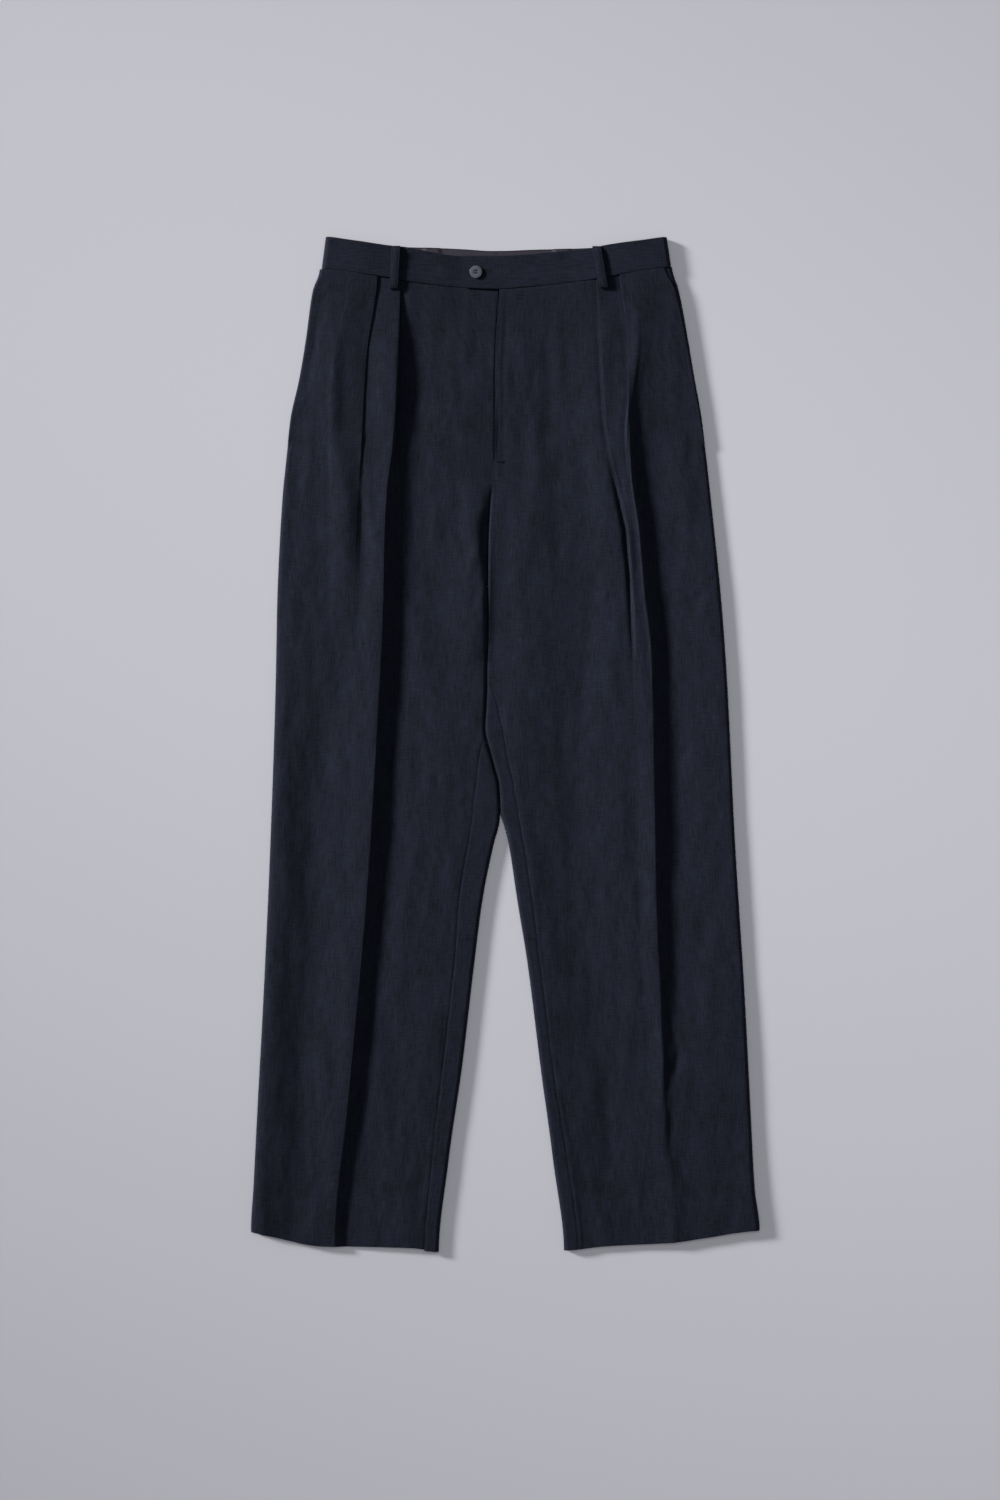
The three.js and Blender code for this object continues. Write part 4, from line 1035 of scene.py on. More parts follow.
@dataclass(frozen=True)
class LiningFinish:
    """Cotton sateen of the waistband's lining: smooth, close woven and a little lustrous."""

    name: str = "cotton_sateen_lining"
    dark: str = "#332e39"
    light: str = "#423d4a"
    drawn_thread: float = 0.9

    def material(self) -> bpy.types.Material:
        """Returns the lining's material."""
        material, tree, output = new_material(self.name)
        uv = add_node(tree, "ShaderNodeTexCoord").outputs["UV"]
        thread = self.drawn_thread * MM
        place = add_node(
            tree, "ShaderNodeMapping", {"Vector": uv, "Scale": (0.12 / thread, 1 / thread, 1.0)}
        )
        grain = add_node(
            tree, "ShaderNodeTexNoise",
            {"Vector": place.outputs[0], "Scale": 1.0, "Detail": 2.0, "Roughness": 0.5},
        )
        end_in_surface(tree, output, {
            "Base Color": two_tones(tree, grain.outputs["Fac"], self.dark, self.light),
            "Roughness": 0.6, "IOR": 1.5, "Sheen Weight": 0.1,
            "Normal": fine_relief(tree, grain.outputs["Fac"], 0.3, 0.2),
        })
        return material


@dataclass(frozen=True)
class HornFinish:
    """Buffalo horn, turned and polished: dark with smoky streaks under a soft gloss."""

    name: str = "polished_horn"
    dark: str = "#444851"
    light: str = "#797e8c"
    streak: float = 2.2

    def material(self) -> bpy.types.Material:
        """Returns the button's material."""
        material, tree, output = new_material(self.name)
        where = add_node(tree, "ShaderNodeTexCoord").outputs["Object"]
        place = add_node(
            tree, "ShaderNodeMapping",
            {"Vector": where, "Scale": (1 / (self.streak * MM), 0.35 / (self.streak * MM), 1.0)},
        )
        grain = add_node(
            tree, "ShaderNodeTexNoise",
            {"Vector": place.outputs[0], "Scale": 1.0, "Detail": 3.0, "Distortion": 0.6},
        )
        end_in_surface(tree, output, {
            "Base Color": two_tones(tree, grain.outputs["Fac"], self.dark, self.light),
            "Roughness": 0.28, "IOR": 1.55,
        })
        return material


@dataclass(frozen=True)
class ThreadFinish:
    """Polyester sewing thread, twisted and lightly lustrous, dyed to match the cloth."""

    name: str = "sewing_thread"
    colour: str = "#191c26"
    drawn_twist: float = 0.5

    def material(self) -> bpy.types.Material:
        """Returns the thread's material."""
        material, tree, output = new_material(self.name)
        where = add_node(tree, "ShaderNodeTexCoord").outputs["Object"]
        ply = add_node(
            tree, "ShaderNodeTexWave",
            {"Vector": where, "Scale": 1 / (self.drawn_twist * MM * 6.28), "Distortion": 1.0},
            bands_direction="DIAGONAL",
        )
        end_in_surface(tree, output, {
            "Base Color": linear(self.colour), "Roughness": 0.8, "IOR": 1.4,
            "Normal": fine_relief(tree, ply.outputs["Fac"], 0.4, 0.1),
        })
        return material


@dataclass(frozen=True)
class FloorFinish:
    """Seamless paper of the studio's floor: pale grey and quite matt."""

    name: str = "seamless_paper"
    colour: str = "#cacad2"

    def material(self) -> bpy.types.Material:
        """Returns the floor's material."""
        material, tree, output = new_material(self.name)
        end_in_surface(tree, output, {
            "Base Color": linear(self.colour), "Roughness": 1.0, "Specular IOR Level": 0.1,
        })
        return material


@dataclass(frozen=True)
class Cut:
    """Flat size and area of a piece of cloth, in millimetres and square millimetres."""

    width: float
    length: float
    area: float

    def declare(self, obj: bpy.types.Object, rests_on: list[str]) -> None:
        """Takes an object and the pieces it is laid on, and does nothing with them."""


def finish_piece(
    obj: bpy.types.Object, material: bpy.types.Material, node: str | None
) -> None:
    """Dresses a piece and ties it to the frame.

    Args:
        obj: the piece.
        material: its material.
        node: the frame's node that it stands for, if any.
    """
    obj.data.materials.clear()
    obj.data.materials.append(material)
    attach(obj, "root")
    if node:
        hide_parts(node)
    log.info("%s: %d faces", obj.name, len(obj.data.polygons))


@dataclass(frozen=True)
class Panels:
    """Front and back panels of one leg, with the pocket facing behind its mouth.

    A dip is the depth and the width of the groove in which a seam lies. The right front steps down
    under the left one beside the fly.
    """

    leg: Leg
    word: str
    thickness: float = CLOTH
    front_spacing: float = 3.7
    back_spacing: float = 6.5
    facing_reach: float = 15.0
    fly_gap: float = 6.4
    fly_step: float = 0.9
    fly_step_run: float = 1.9
    fly_fade: float = 8.0
    front_seam_dip: tuple[float, float] = (0.45, 1.3)
    back_seam_dip: tuple[float, float] = (0.4, 1.2)
    side_seam_dip: tuple[float, float] = (0.3, 1.2)
    waist_dip: tuple[float, float] = (0.3, 1.4)
    hem_dip: tuple[float, float] = (0.2, 1.5)
    mouth_drop: float = 0.3
    hidden_wrap: float = 4.0
    showing_wrap: float = 7.0
    front_cut: Cut = Cut(360, 1085, 248000)
    back_cut: Cut = Cut(330, 1085, 260000)
    facing_cut: Cut = Cut(42, 190, 5100)

    def front(self) -> bpy.types.Object:
        """Returns the front panel with its pleats, crease and folds."""
        ys = leg_rows(self.front_spacing)
        points = np.array([Section(self.leg, float(y)).front_points() for y in ys])
        rows = place_rows(self.leg, ys, points, WAIST_SEAM, self.leg.front_hem)
        open_part = smooth((ys - POCKET_CLOSED_Y) / (POCKET_END_Y - POCKET_CLOSED_Y))
        fly_part = smooth((ys - FLY_END_Y) / self.fly_fade)
        rows[..., 2] += relief(rows[..., 0], rows[..., 1]) * self.side_hold(ys, rows.shape[1])
        rows[..., 2] += self.leg.waist_lift(rows[..., 0], ys[:, None])
        seam = self.seam_part(ys) * self.front_seam_dip[0]
        if self.leg.side is Side.RIGHT:
            gap = np.hypot(rows[..., 0] - rows[:, :1, 0], rows[..., 2] - rows[:, :1, 2])
            step = smooth((self.fly_gap - gap) / self.fly_step_run)
            rows[..., 2] -= self.fly_step * fly_part[:, None] * step
        rows = dip_edges(rows, True, {
            "first": (seam, self.front_seam_dip[1]), "top": self.waist_dip, "bottom": self.hem_dip,
        })
        rows[:, -1, 2] -= self.mouth_drop * open_part
        threads = thread_map(rows, Section.FIRST_PLEAT_AT + 14)
        return Sheet(f"front_{self.word}_cloth", self.thickness).build(rows, threads)

    def seam_part(self, ys: np.ndarray) -> np.ndarray:
        """Returns how clearly the inner seam shows at each y: not at all where the legs touch."""
        wraps = np.array([self.leg.inner.at(float(y))["wrap"] for y in ys])
        return smooth((wraps - self.hidden_wrap) / (self.showing_wrap - self.hidden_wrap))

    def side_hold(self, ys: np.ndarray, count: int) -> np.ndarray:
        """How freely the cloth moves: less beside its seams, most where the inseam lies under the leg.

        Args:
            ys: y of each row.
            count: points in each row.
        Returns:
            A part from 0 to 1 for each point.
        """
        wraps = np.array([self.leg.inner.at(float(y))["wrap"] for y in ys])
        near = 5.0 + 5.0 * smooth(wraps / 8.0)
        place = np.arange(count)
        inner = smooth(place[None, :] / near[:, None])
        return inner * smooth((count - 1 - place) / 12.0)[None, :]

    def back(self) -> bpy.types.Object:
        """Returns the back panel, which lies on the surface and comes round to the inseam."""
        ys = leg_rows(self.back_spacing)
        points = np.array([Section(self.leg, float(y)).back_points() for y in ys])
        rows = place_rows(self.leg, ys, points, BACK_SEAM, self.leg.hem)
        seam = self.seam_part(ys) * self.back_seam_dip[0]
        rows = dip_edges(rows, False, {
            "first": (seam, self.back_seam_dip[1]), "last": self.side_seam_dip,
        })
        rows[..., 2] += np.clip(self.back_relief(rows), 0.0, None) * self.back_hold(rows)
        rows[..., 2] = np.maximum(rows[..., 2], self.thickness / 2)
        threads = thread_map(rows, 50)
        return Sheet(f"back_{self.word}_cloth", self.thickness).build(rows, threads)

    def back_relief(self, rows: np.ndarray) -> np.ndarray:
        """Returns the height to which the back's creases stand off the surface it lies on."""
        x, y = rows[..., 0], rows[..., 1]
        total = BACK_UNEVEN.at(x, y)
        for fold in BACK_FOLDS:
            total += fold.at(x, y)
        return total

    def back_hold(self, rows: np.ndarray) -> np.ndarray:
        """Returns how freely the back moves: not at all beside its seams, and in its flat part."""
        count = rows.shape[1]
        place = np.arange(count)
        across = smooth((place - 30) / 6.0) * smooth((count - 8 - place) / 6.0)
        ends = smooth((WAIST_SEAM_Y - 20 - rows[..., 1]) / 60.0)
        return across[None, :] * ends

    def pocket_facing(self) -> bpy.types.Object:
        """Returns the facing that shows between the pocket's mouth and the side."""
        ys = np.concatenate([np.arange(WAIST_SEAM_Y, POCKET_END_Y, -4.0), [POCKET_END_Y]])
        sections = []
        for y in ys:
            section = Section(self.leg, float(y))
            top = section.side - LAYER_STEP
            radius = (top - CLOTH / 2) / 2
            roll_start = section.side_u - CLOTH / 2 - radius
            hidden = section.roll_start - self.facing_reach
            us = np.linspace(hidden, roll_start, 14)
            last = section.pleat_points(section.pleats[1])[-1]
            zs = curve(*section.flank_knots(last), us) - LAYER_STEP
            points = list(zip(us.tolist(), zs.tolist()))
            quarter = math.pi / 2 * radius - Section.SEAM_SLIT
            for part in np.linspace(0.12, 1, 9):
                along, drop = curl_step(radius, 1.0, float(part) * quarter)
                points.append((roll_start + along, points[13][1] - drop))
            sections.append(points)
        rows = place_rows(self.leg, ys, np.array(sections), WAIST_SEAM, self.leg.hem)
        threads = thread_map(rows, 0)
        return Sheet(f"pocket_facing_{self.word}_cloth", self.thickness).build(rows, threads)

    def build(self, cloth: bpy.types.Material) -> None:
        front, back, facing = self.front(), self.back(), self.pocket_facing()
        for obj, node in ((front, "front"), (back, "back"), (facing, "pocket_facing")):
            finish_piece(obj, cloth, f"{node}_{self.word}")
        self.front_cut.declare(front, [back.name])
        self.back_cut.declare(back, ["floor"])
        self.facing_cut.declare(facing, [back.name])


@dataclass(frozen=True)
class FlyStrips:
    """Facing and shield of the fly, which lie hidden under the fronts."""

    facing_inset: float = 5.6
    facing_width: float = 36.0
    facing_below: float = 1.5
    shield_reach: float = 14.0
    shield_below: float = 2.05
    thickness: float = CLOTH
    facing_cut: Cut = Cut(42, 200, 5800)
    shield_cut: Cut = Cut(50, 200, 9700)

    def strip(
        self, name: str, leg: Leg, start: Table, end: tuple[float, float], below: float
    ) -> bpy.types.Object:
        """Builds one strip, a layer below its front.

        Args:
            name: of the piece.
            leg: the leg under whose front it lies.
            start: the edge from which its width is measured.
            end: how far its two edges lie from that edge, outwards.
            below: how far it lies below the front's inner edge.
        Returns:
            The strip.
        """
        ys = np.linspace(WAIST_SEAM_Y, FLY_END_Y + 4, 40)
        sections = []
        for y in ys:
            section = Section(leg, float(y))
            edge = start.at(float(y))["front"] * leg.outward
            us = np.linspace(edge + end[0], edge + end[1], 16)
            sections.append([(float(u), section.inner - below) for u in us])
        rows = place_rows(leg, ys, np.array(sections), WAIST_SEAM, leg.hem)
        return Sheet(name, self.thickness).build(rows, thread_map(rows, 0))

    def build(self, cloth: bpy.types.Material) -> None:
        """Builds and dresses both strips."""
        facing = self.strip(
            "fly_facing_cloth", LEFT_LEG, LEFT_INNER, (self.facing_inset, self.facing_width),
            self.facing_below,
        )
        shield = self.strip(
            "fly_shield_cloth", RIGHT_LEG, LEFT_INNER, (-self.facing_width, self.shield_reach),
            self.shield_below,
        )
        finish_piece(facing, cloth, "fly_facing")
        finish_piece(shield, cloth, "fly_shield")
        self.facing_cut.declare(facing, ["back_left_cloth"])
        self.shield_cut.declare(shield, ["back_right_cloth"])


# The two loops under the back band, and how the band rises over them, in millimetres.
BACK_LOOPS_X = (-80.0, 62.0)
LOOP_LIFT = 1.4
LOOP_LIFT_HALF = 6.3
LOOP_LIFT_RUN = 5.0


def back_band_height(x: np.ndarray, wall: float) -> np.ndarray:
    """Height of the back band's middle, lifted over the two loops under it.

    Args:
        x: places along the band, in millimetres.
        wall: the band's thickness in the frame.
    Returns:
        The height at each place.
    """
    lift = np.zeros_like(x)
    for loop_x in BACK_LOOPS_X:
        past = np.abs(x - loop_x) - LOOP_LIFT_HALF
        lift = np.maximum(lift, 1 - smooth(past / LOOP_LIFT_RUN))
    return wall / 2 + lift * LOOP_LIFT


@dataclass(frozen=True)
class BandHalf:
    """Half of the waistband, from its end at the centre front round the side to the centre back."""

    word: str
    heights: Table
    side_at_seam: float
    side_at_top: float
    end_x: float
    centre_back_x: float
    is_tab: bool
    cut: Cut = Cut(420, 38, 15000)
    wall: float = 1.8
    side_roll: float = 4.5
    tab_corner: float = 4.0

    @property
    def outward(self) -> float:
        """Sign of x on which the band lies."""
        return math.copysign(1.0, self.side_at_seam)

    def height_at(self, x: float) -> float:
        """Returns the height of the front band's middle at x."""
        roll_x = self.side_at_seam - self.outward * (self.wall / 2 + self.side_roll)
        return self.heights.at((x - roll_x) / (self.end_x - roll_x))["height"]

    def rows(self) -> np.ndarray:
        """Returns the band's sheet of points, a row for each step up the band."""
        rows = []
        for up in np.concatenate([[0, 0.012, 0.03, 0.06, 0.1], np.linspace(0.15, 1, 20)]):
            side_x = mix(self.side_at_seam, self.side_at_top, up) - self.outward * self.wall / 2
            cut = 0.0
            if self.is_tab:
                cut = self.tab_corner * (1 - math.sqrt(max(1 - (1 - min(up / 0.12, 1)) ** 2, 0)))
            start_x = self.end_x + self.outward * cut
            roll_x = side_x - self.outward * self.side_roll
            parts = np.concatenate([[1, 0.998, 0.994], np.linspace(0.988, 0, 118)])
            x = mix(roll_x, start_x, parts)
            z = curve(self.heights.data[:, 0], self.heights.data[:, 1], parts)
            back = np.zeros_like(x)
            top = self.heights.data[0, 1]
            mid = (top + self.wall / 2) / 2
            turn = np.linspace(0, 1, 16)[1:-1]
            x = np.concatenate([x, roll_x + self.outward * self.side_roll * np.sin(turn * math.pi)])
            z = np.concatenate([z, mid + (top - mid) * np.cos(turn * math.pi)])
            back = np.concatenate([back, turn])
            under = np.linspace(roll_x, self.centre_back_x, 90)
            x = np.concatenate([x, under])
            z = np.concatenate([z, back_band_height(under, self.wall)])
            back = np.concatenate([back, np.ones_like(under)])
            low = mix(WAIST_SEAM.line(x), BACK_SEAM.line(x), back) + 0.1
            high = mix(FRONT_BAND_TOP.line(x), BACK_BAND_TOP.line(x), back)
            rows.append(np.stack([x, mix(low, high, up), z], axis=-1))
        return np.array(rows)

    def build(self, cloth: bpy.types.Material) -> bpy.types.Object:
        rows = self.rows()
        front = smooth((rows[..., 2] - 3.0) / 2.0)
        wave = BAND_UNEVEN.at(rows[..., 0], rows[..., 1])
        rows[..., 2] += wave * front
        dipped = dip_edges(rows, True, {"top": (0.3, 1.0)})
        rows = dipped * front[..., None] + rows * (1 - front[..., None])
        threads = thread_map(rows, 0)[..., ::-1]
        obj = Sheet(f"waistband_{self.word}_cloth", 1.6, 0.5).build(rows, threads)
        finish_piece(obj, cloth, f"waistband_{self.word}")
        self.cut.declare(obj, ["floor"])
        return obj


RIGHT_BAND = BandHalf("right", RIGHT_BAND_HEIGHTS, -200.4, -195.8, 6.0, -8.21, False)
LEFT_BAND = BandHalf("left", LEFT_BAND_HEIGHTS, 180.9, 176.2, -47.2, -8.19, True)


@dataclass(frozen=True)
class BandLining:
    """Inner lining of the back band, a strip of which shows above the front band."""

    start_x: float = -160.0
    end_x: float = 146.0
    depth: float = 27.0
    inset: float = 1.2
    lift: float = 1.7
    thickness: float = 0.7
    cut: Cut = Cut(310, 30, 8700)

    def build(self, lining: bpy.types.Material) -> None:
        x = np.linspace(self.start_x, self.end_x, 170)
        rows = []
        for up in np.linspace(1, 0, 14):
            y = BACK_BAND_TOP.line(x) - self.inset - self.depth * (1 - up)
            z = back_band_height(x, 1.8) + self.lift
            z = z - 0.35 * np.exp(-(((x + 7.5) / 0.9) ** 2))
            rows.append(np.stack([x, y, z], axis=-1))
        rows = np.array(rows)
        rows[..., 2] += LINING_UNEVEN.at(rows[..., 0], rows[..., 1])
        obj = Sheet("waistband_lining_cloth", self.thickness).build(rows, thread_map(rows, 0)[..., ::-1])
        finish_piece(obj, lining, "waistband_lining")
        self.cut.declare(obj, ["waistband_right_cloth", "waistband_left_cloth"])


@dataclass(frozen=True)
class FrontLoop:
    """Belt loop that stands a little off the front band, sewn down above and below it."""

    word: str
    leg: Leg
    band: BandHalf
    top: tuple[float, float]
    bottom: tuple[float, float]
    width: float = 9.6
    stand: float = 2.6
    wall: float = 1.6
    cut: Cut = Cut(10, 50, 480)

    def centre(self, down: float) -> tuple[float, float, float]:
        """Returns the middle of the loop at a part of its length from the top."""
        section = Section(self.leg, self.bottom[1] + 8)
        reach = self.width / 2
        tops = [self.band.height_at(self.top[0] + d) for d in (-reach, 0, reach)]
        xs = [self.bottom[0] + d for d in (-reach, 0, reach)]
        seats = [section.top_at(x * self.leg.outward) + float(self.leg.lift.line(x)) for x in xs]
        high = max(tops) + self.band.wall / 2 + 0.3 + self.wall / 2
        low = max(seats) + CLOTH / 2 + 0.3 + self.wall / 2
        arch = curve([0, 0.05, 0.14, 0.5, 0.82, 0.95, 1], [0, 0.55, 1, 1.1, 1, 0.6, 0], down)
        return (
            mix(self.top[0], self.bottom[0], down), mix(self.top[1], self.bottom[1], down),
            mix(high, low, down) + float(arch) * self.stand,
        )

    def build(self, cloth: bpy.types.Material) -> bpy.types.Object:
        parts = np.concatenate([
            np.linspace(0, 0.16, 12), np.linspace(0.19, 0.8, 18), np.linspace(0.83, 1, 12),
        ])
        middle = np.array([self.centre(float(p)) for p in parts])
        offsets = np.linspace(-1, 1, 15)
        crown = 0.35 * (1 - offsets**2) - 0.25 * np.exp(-(((np.abs(offsets) - 0.68) / 0.1) ** 2))
        x = middle[:, None, 0] + offsets[None, :] * (self.width / 2 - 0.2)
        y = np.repeat(middle[:, None, 1], len(offsets), axis=1)
        z = middle[:, None, 2] + crown[None, :] - 0.2
        rows = np.stack([x, y, z], axis=-1)
        obj = Sheet(f"belt_loop_front_{self.word}_cloth", 1.4, 0.45).build(rows, thread_map(rows, 7))
        finish_piece(obj, cloth, f"belt_loop_front_{self.word}")
        self.cut.declare(obj, [f"waistband_{self.word}_cloth"])
        return obj


@dataclass(frozen=True)
class BackLoop:
    """Plain loop that lies flat under the back band."""

    word: str
    x: float
    width: float = 10.0
    wall: float = 1.1
    cut: Cut = Cut(10, 37, 360)

    def build(self, cloth: bpy.types.Material) -> None:
        top = float(BACK_BAND_TOP.line(np.array(self.x))) - 1
        bottom = float(BACK_SEAM.line(np.array(self.x))) + 2
        across = np.linspace(-1, 1, 11) * self.width / 2 + self.x
        x, y = np.meshgrid(across, np.linspace(top, bottom, 24))
        rows = np.stack([x, y, np.full_like(x, self.wall / 2)], axis=-1)
        obj = Sheet(f"belt_loop_back_{self.word}_cloth", 1.0, 0.3).build(rows, thread_map(rows, 5))
        finish_piece(obj, cloth, f"belt_loop_back_{self.word}")
        self.cut.declare(obj, ["floor"])


@dataclass(frozen=True)
class Button:
    """Four-hole trouser button with a raised rim and a dished face, sewn on with thread."""

    x: float = -32.1
    y: float = 515.0
    radius: float = 7.25
    thickness: float = 2.6
    rim: float = 1.5
    dish: float = 0.55
    hole_radius: float = 0.75
    hole_pitch: float = 2.6
    stand: float = 0.3

    def base(self) -> float:
        """Returns the height of the button's underside."""
        return LEFT_BAND.height_at(self.x) + LEFT_BAND.wall / 2 + self.stand

    def build(self, horn: bpy.types.Material, thread: bpy.types.Material) -> None:
        """Turns the button from a disc, drills it and sews it on."""
        deselect()
        middle = (self.x * MM, self.y * MM, (self.base() + self.thickness / 2) * MM)
        bpy.ops.mesh.primitive_cylinder_add(
            vertices=72, radius=self.radius * MM, depth=self.thickness * MM, location=middle
        )
        disc = bpy.context.object
        top = max(disc.data.polygons, key=lambda face: face.normal.z)
        for face in disc.data.polygons:
            face.select = face.index == top.index
        bpy.ops.object.mode_set(mode="EDIT")
        bpy.ops.mesh.select_mode(type="FACE")
        bpy.ops.mesh.inset(thickness=self.rim * MM)
        bpy.ops.mesh.inset(thickness=0.7 * MM, depth=-self.dish * MM)
        bpy.ops.mesh.inset(thickness=1.2 * MM, depth=0.08 * MM)
        bpy.ops.object.mode_set(mode="OBJECT")
        settle(disc)
        drills = []
        for across in (-0.5, 0.5):
            for along in (-0.5, 0.5):
                deselect()
                bpy.ops.mesh.primitive_cylinder_add(
                    vertices=20, radius=self.hole_radius * MM, depth=3 * self.thickness * MM,
                    location=(
                        (self.x + across * self.hole_pitch) * MM,
                        (self.y + along * self.hole_pitch) * MM, middle[2],
                    ),
                )
                drills.append(bpy.context.object)
        drill = join(drills, "drill")
        settle(drill)
        apply_modifier(disc, "BOOLEAN", operation="DIFFERENCE", solver="EXACT", object=drill)
        bpy.data.objects.remove(drill, do_unlink=True)
        apply_modifier(
            disc, "BEVEL", width=0.28 * MM, segments=3, limit_method="ANGLE",
            angle_limit=math.radians(35),
        )
        activate(disc)
        bpy.ops.object.shade_smooth_by_angle(angle=math.radians(40))
        disc.name = "button_horn"
        finish_piece(disc, horn, "button")
        self.sew(thread)

    def sew(self, thread: bpy.types.Material) -> None:
        """Lays two bars of thread between the holes and down through them."""
        half = self.hole_pitch / 2
        face = self.base() + self.thickness - self.dish
        strands = []
        for along in (-half, half):
            for offset in (-0.22, 0.0, 0.22):
                path = [
                    (self.x - half, self.y + along + offset, face - 2.2),
                    (self.x - half, self.y + along + offset, face - 0.1),
                    (self.x - half * 0.5, self.y + along + offset, face + 0.36),
                    (self.x + half * 0.5, self.y + along + offset, face + 0.36),
                    (self.x + half, self.y + along + offset, face - 0.1),
                    (self.x + half, self.y + along + offset, face - 2.2),
                ]
                strands.append(strand(path, 0.19))
        obj = join(strands, "button_thread")
        finish_piece(obj, thread, None)


def strand(path: list[tuple[float, float, float]], radius: float) -> bpy.types.Object:
    """Round strand of thread along a path.

    Args:
        path: points in millimetres.
        radius: of the thread, in millimetres.
    Returns:
        The strand as a closed mesh at the origin.
    """
    deselect()
    bpy.ops.mesh.primitive_cylinder_add(vertices=6, radius=1.0, depth=1.0, end_fill_type="NGON")
    obj = bpy.context.object
    mesh = obj.data
    count = len(path)
    bottom = [v.index for v in mesh.vertices if v.co.z < 0]
    ring = sorted(bottom, key=lambda i: math.atan2(mesh.vertices[i].co.y, mesh.vertices[i].co.x))
    angles = [math.atan2(mesh.vertices[i].co.y, mesh.vertices[i].co.x) for i in ring]
    points = [Vector(p) for p in path]
    verts, faces = [], []
    for k, point in enumerate(points):
        ahead = (points[min(k + 1, count - 1)] - points[max(k - 1, 0)]).normalized()
        side = ahead.cross(Vector((0.1, 0.2, 1.0))).normalized()
        lift = side.cross(ahead).normalized()
        for angle in angles:
            verts.append((point + (side * math.cos(angle) + lift * math.sin(angle)) * radius) * MM)
    size = len(angles)
    for k in range(count - 1):
        for a in range(size):
            b = (a + 1) % size
            faces.append((k * size + a, k * size + b, (k + 1) * size + b, (k + 1) * size + a))
    faces.append(tuple(reversed(range(size))))
    faces.append(tuple(range((count - 1) * size, count * size)))
    mesh.clear_geometry()
    mesh.from_pydata(verts, [], faces)
    mesh.update()
    activate(obj)
    bpy.ops.object.mode_set(mode="EDIT")
    bpy.ops.mesh.select_all(action="SELECT")
    bpy.ops.mesh.normals_make_consistent(inside=False)
    bpy.ops.object.mode_set(mode="OBJECT")
    bpy.ops.object.shade_smooth()
    return obj


@dataclass(frozen=True)
class Sewing:
    """Stitches that show: the buttonhole, the fly's bar tack, and bar tacks across both ends of each front
    belt loop.
    """

    radius: float = 0.2
    hole_x: float = -26.0
    hole_y: float = 515.0
    hole_stitches: int = 26
    hole_step: float = 0.42
    fly_tack: tuple[tuple[float, float], tuple[float, float]] = ((-9.6, 308.6), (-2.6, 308.6))

    def bar_tack(
        self, start: tuple[float, float], end: tuple[float, float], width: float, height: float
    ) -> list[bpy.types.Object]:
        """Close stitches across a line.

        Args:
            start, end: ends of the line.
            width: of the stitches.
            height: at which they lie.
        Returns:
            One strand for each stitch.
        """
        a, b = Vector(start), Vector(end)
        count = max(int((b - a).length / 0.55), 4)
        ahead = (b - a).normalized()
        side = Vector((-ahead.y, ahead.x)) * width / 2
        strands = []
        for k in range(count):
            middle = a.lerp(b, k / (count - 1))
            path = [
                (*(middle - side), height - 0.25), (*(middle - side * 0.6), height + 0.12),
                (*(middle + side * 0.6), height + 0.12), (*(middle + side), height - 0.25),
            ]
            strands.append(strand(path, self.radius))
        return strands

    def buttonhole(self) -> list[bpy.types.Object]:
        """Returns the stitches round the buttonhole, beside the button."""
        strands = []
        y = self.hole_y
        for k in range(self.hole_stitches):
            x = self.hole_x + k * self.hole_step
            height = LEFT_BAND.height_at(x) + 0.8
            for side in (-1, 1):
                path = [
                    (x, y + side * 0.15, height - 0.2), (x, y + side * 0.45, height + 0.14),
                    (x, y + side * 1.2, height + 0.1), (x, y + side * 1.5, height - 0.2),
                ]
                strands.append(strand(path, self.radius))
        return strands

    def build(self, thread: bpy.types.Material, loops: tuple[FrontLoop, FrontLoop]) -> None:
        """Sews everything."""
        strands = self.buttonhole()
        fly_top = Section(LEFT_LEG, 309.0).top_at(-8.0)
        strands += self.bar_tack(*self.fly_tack, 1.7, fly_top + 0.45)
        for loop in loops:
            for down in (0.035, 0.965):
                x, y, z = loop.centre(down)
                strands += self.bar_tack((x - 3.6, y), (x + 3.6, y), 1.5, z + 0.75)
        obj = join(strands, "stitches")
        finish_piece(obj, thread, None)


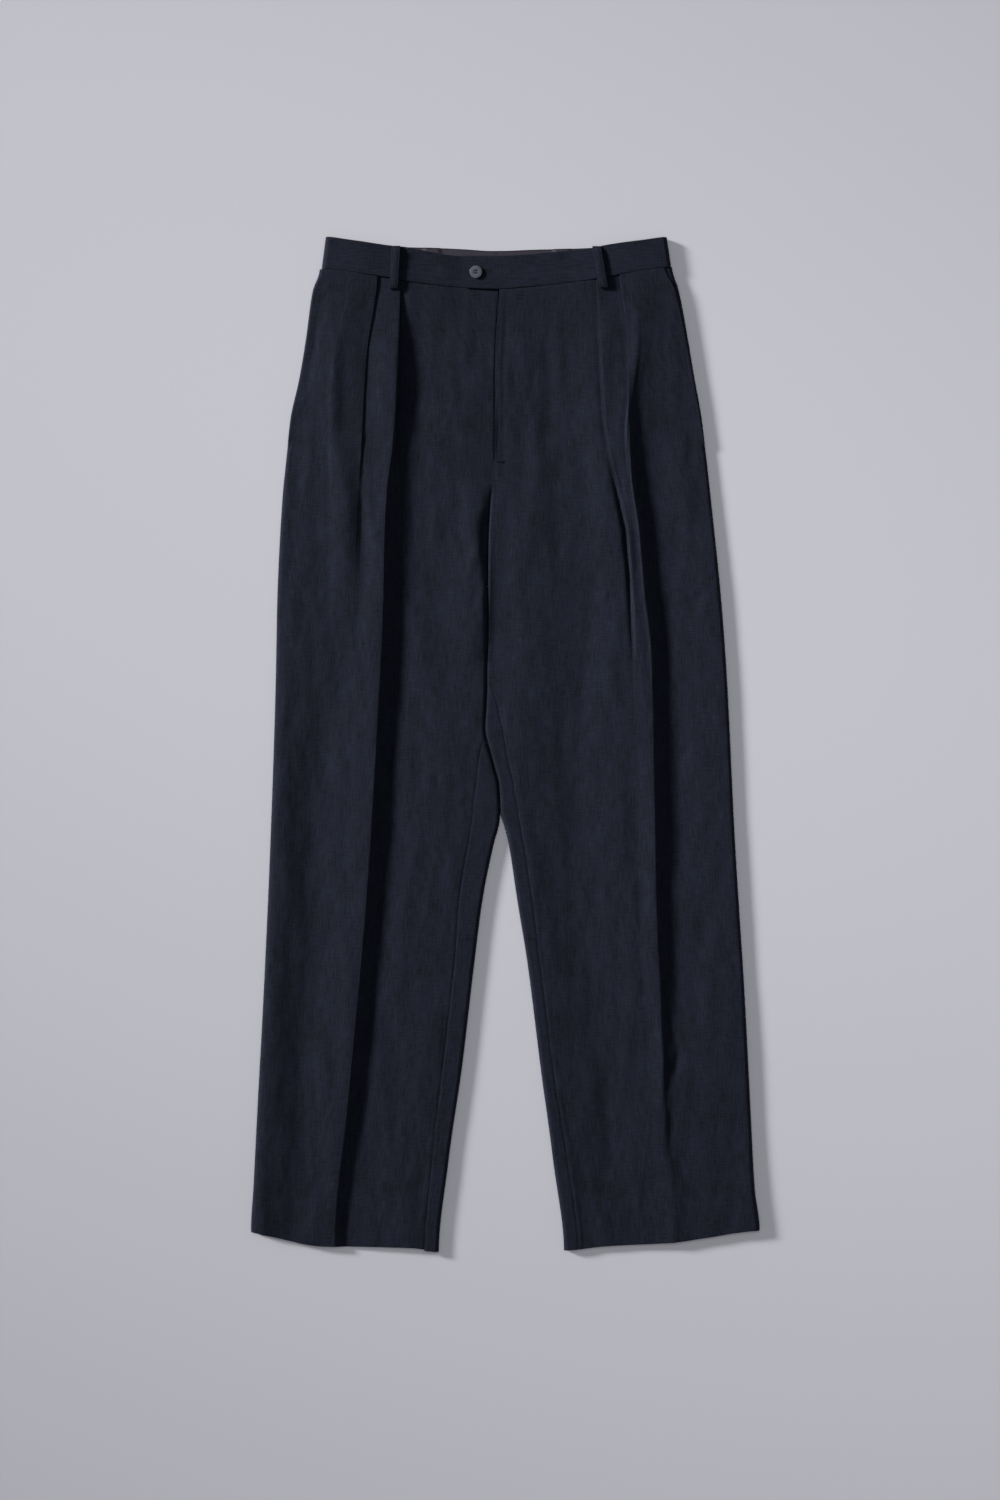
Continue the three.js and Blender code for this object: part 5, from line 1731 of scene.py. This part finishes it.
@dataclass(frozen=True)
class Studio:
    """Floor, lights and camera. Sizes are in metres, and the camera's x and y in millimetres."""

    floor_size: float = 24.0
    floor_drop: float = 0.00015
    camera_x: float = -5.8
    camera_y: float = -6.0
    camera_height: float = 3.641
    lens: float = 80.0
    key_turn: float = 157.0
    key_rise: float = 22.0
    key_distance: float = 14.0
    key_aim: tuple[float, float] = (0.14, 0.2)
    key_radius: float = 1.5
    key_cone: float = 15.6
    key_power: float = 14000.0
    key_colour: tuple[float, float, float] = (1.0, 0.985, 0.97)
    bounce_place: tuple[float, float, float] = (0.05, 0.25, 3.9)
    bounce_size: float = 2.0
    bounce_power: float = 48.0
    sky: float = 0.2
    sky_colour: str = "#d6d8de"

    def floor(self) -> None:
        """Lays the floor a hair below the cloth, so that the two surfaces never coincide."""
        deselect()
        bpy.ops.mesh.primitive_grid_add(
            x_subdivisions=8, y_subdivisions=8, size=self.floor_size,
            location=(0.0, 0.0, -self.floor_drop),
        )
        floor = bpy.context.object
        settle(floor)
        floor.name = "floor"
        floor.data.materials.append(FloorFinish().material())

    def lights(self) -> None:
        """Sets a low key light at the viewer's left, an even sky, and a bounce for the floor alone."""
        turn, rise = math.radians(self.key_turn), math.radians(self.key_rise)
        level = math.cos(rise)
        toward = Vector((math.cos(turn) * level, math.sin(turn) * level, math.sin(rise)))
        aim = Vector((*self.key_aim, 0.0))
        deselect()
        bpy.ops.object.light_add(type="SPOT", location=aim + toward * self.key_distance)
        key = bpy.context.object
        key.name = "key"
        key.rotation_euler = toward.to_track_quat("Z", "Y").to_euler()
        key.data.energy = self.key_power
        key.data.shadow_soft_size = self.key_radius
        key.data.spot_size = math.radians(self.key_cone)
        key.data.spot_blend = 1.0
        key.data.color = self.key_colour
        deselect()
        bpy.ops.object.light_add(type="AREA", location=self.bounce_place)
        bounce = bpy.context.object
        bounce.name = "bounce"
        bounce.data.shape = "DISK"
        bounce.data.size = self.bounce_size
        bounce.data.energy = self.bounce_power
        bounce.visible_camera = False
        on_floor = bpy.data.collections.new("lit_by_bounce")
        on_floor.objects.link(bpy.data.objects["floor"])
        bounce.light_linking.receiver_collection = on_floor
        world = bpy.data.worlds.new("studio")
        bpy.context.scene.world = world
        world.use_nodes = True
        world.node_tree.nodes.clear()
        sky = add_node(
            world.node_tree, "ShaderNodeBackground",
            {"Color": linear(self.sky_colour), "Strength": self.sky},
        )
        output = world.node_tree.nodes.new("ShaderNodeOutputWorld")
        world.node_tree.links.new(sky.outputs[0], output.inputs[0])

    def camera(self) -> None:
        """Hangs the camera straight above, looking down with the waist at the top."""
        deselect()
        bpy.ops.object.camera_add(
            location=(self.camera_x * MM, self.camera_y * MM, self.camera_height),
            rotation=(0, 0, 0),
        )
        camera = bpy.context.object
        camera.name = "camera"
        camera.data.lens = self.lens
        camera.data.sensor_width = 36.0
        camera.data.clip_end = 100.0
        bpy.context.scene.camera = camera
        bpy.context.scene.view_settings.view_transform = "Standard"

    def build(self) -> None:
        """Builds the studio."""
        self.floor()
        self.lights()
        self.camera()


def main() -> None:
    """Builds the studio, the panels, the band, the loops, the button and the sewing."""
    logging.basicConfig(level=logging.INFO, format="%(name)s: %(message)s")
    Studio().build()
    cloth, lining = SuitingFinish().material(), LiningFinish().material()
    horn, thread = HornFinish().material(), ThreadFinish().material()
    for leg, word in ((RIGHT_LEG, "right"), (LEFT_LEG, "left")):
        Panels(leg, word).build(cloth)
    FlyStrips().build(cloth)
    RIGHT_BAND.build(cloth)
    LEFT_BAND.build(cloth)
    BandLining().build(lining)
    loops = (
        FrontLoop("right", RIGHT_LEG, RIGHT_BAND, (-118.9, 543), (-121.6, 496)),
        FrontLoop("left", LEFT_LEG, LEFT_BAND, (99.2, 542.5), (107.5, 496.5)),
    )
    for loop in loops:
        loop.build(cloth)
    for word, x in zip(("right", "left"), BACK_LOOPS_X):
        BackLoop(word, x).build(cloth)
    Button().build(horn, thread)
    Sewing().build(thread, loops)


if __name__ == "__main__":
    main()
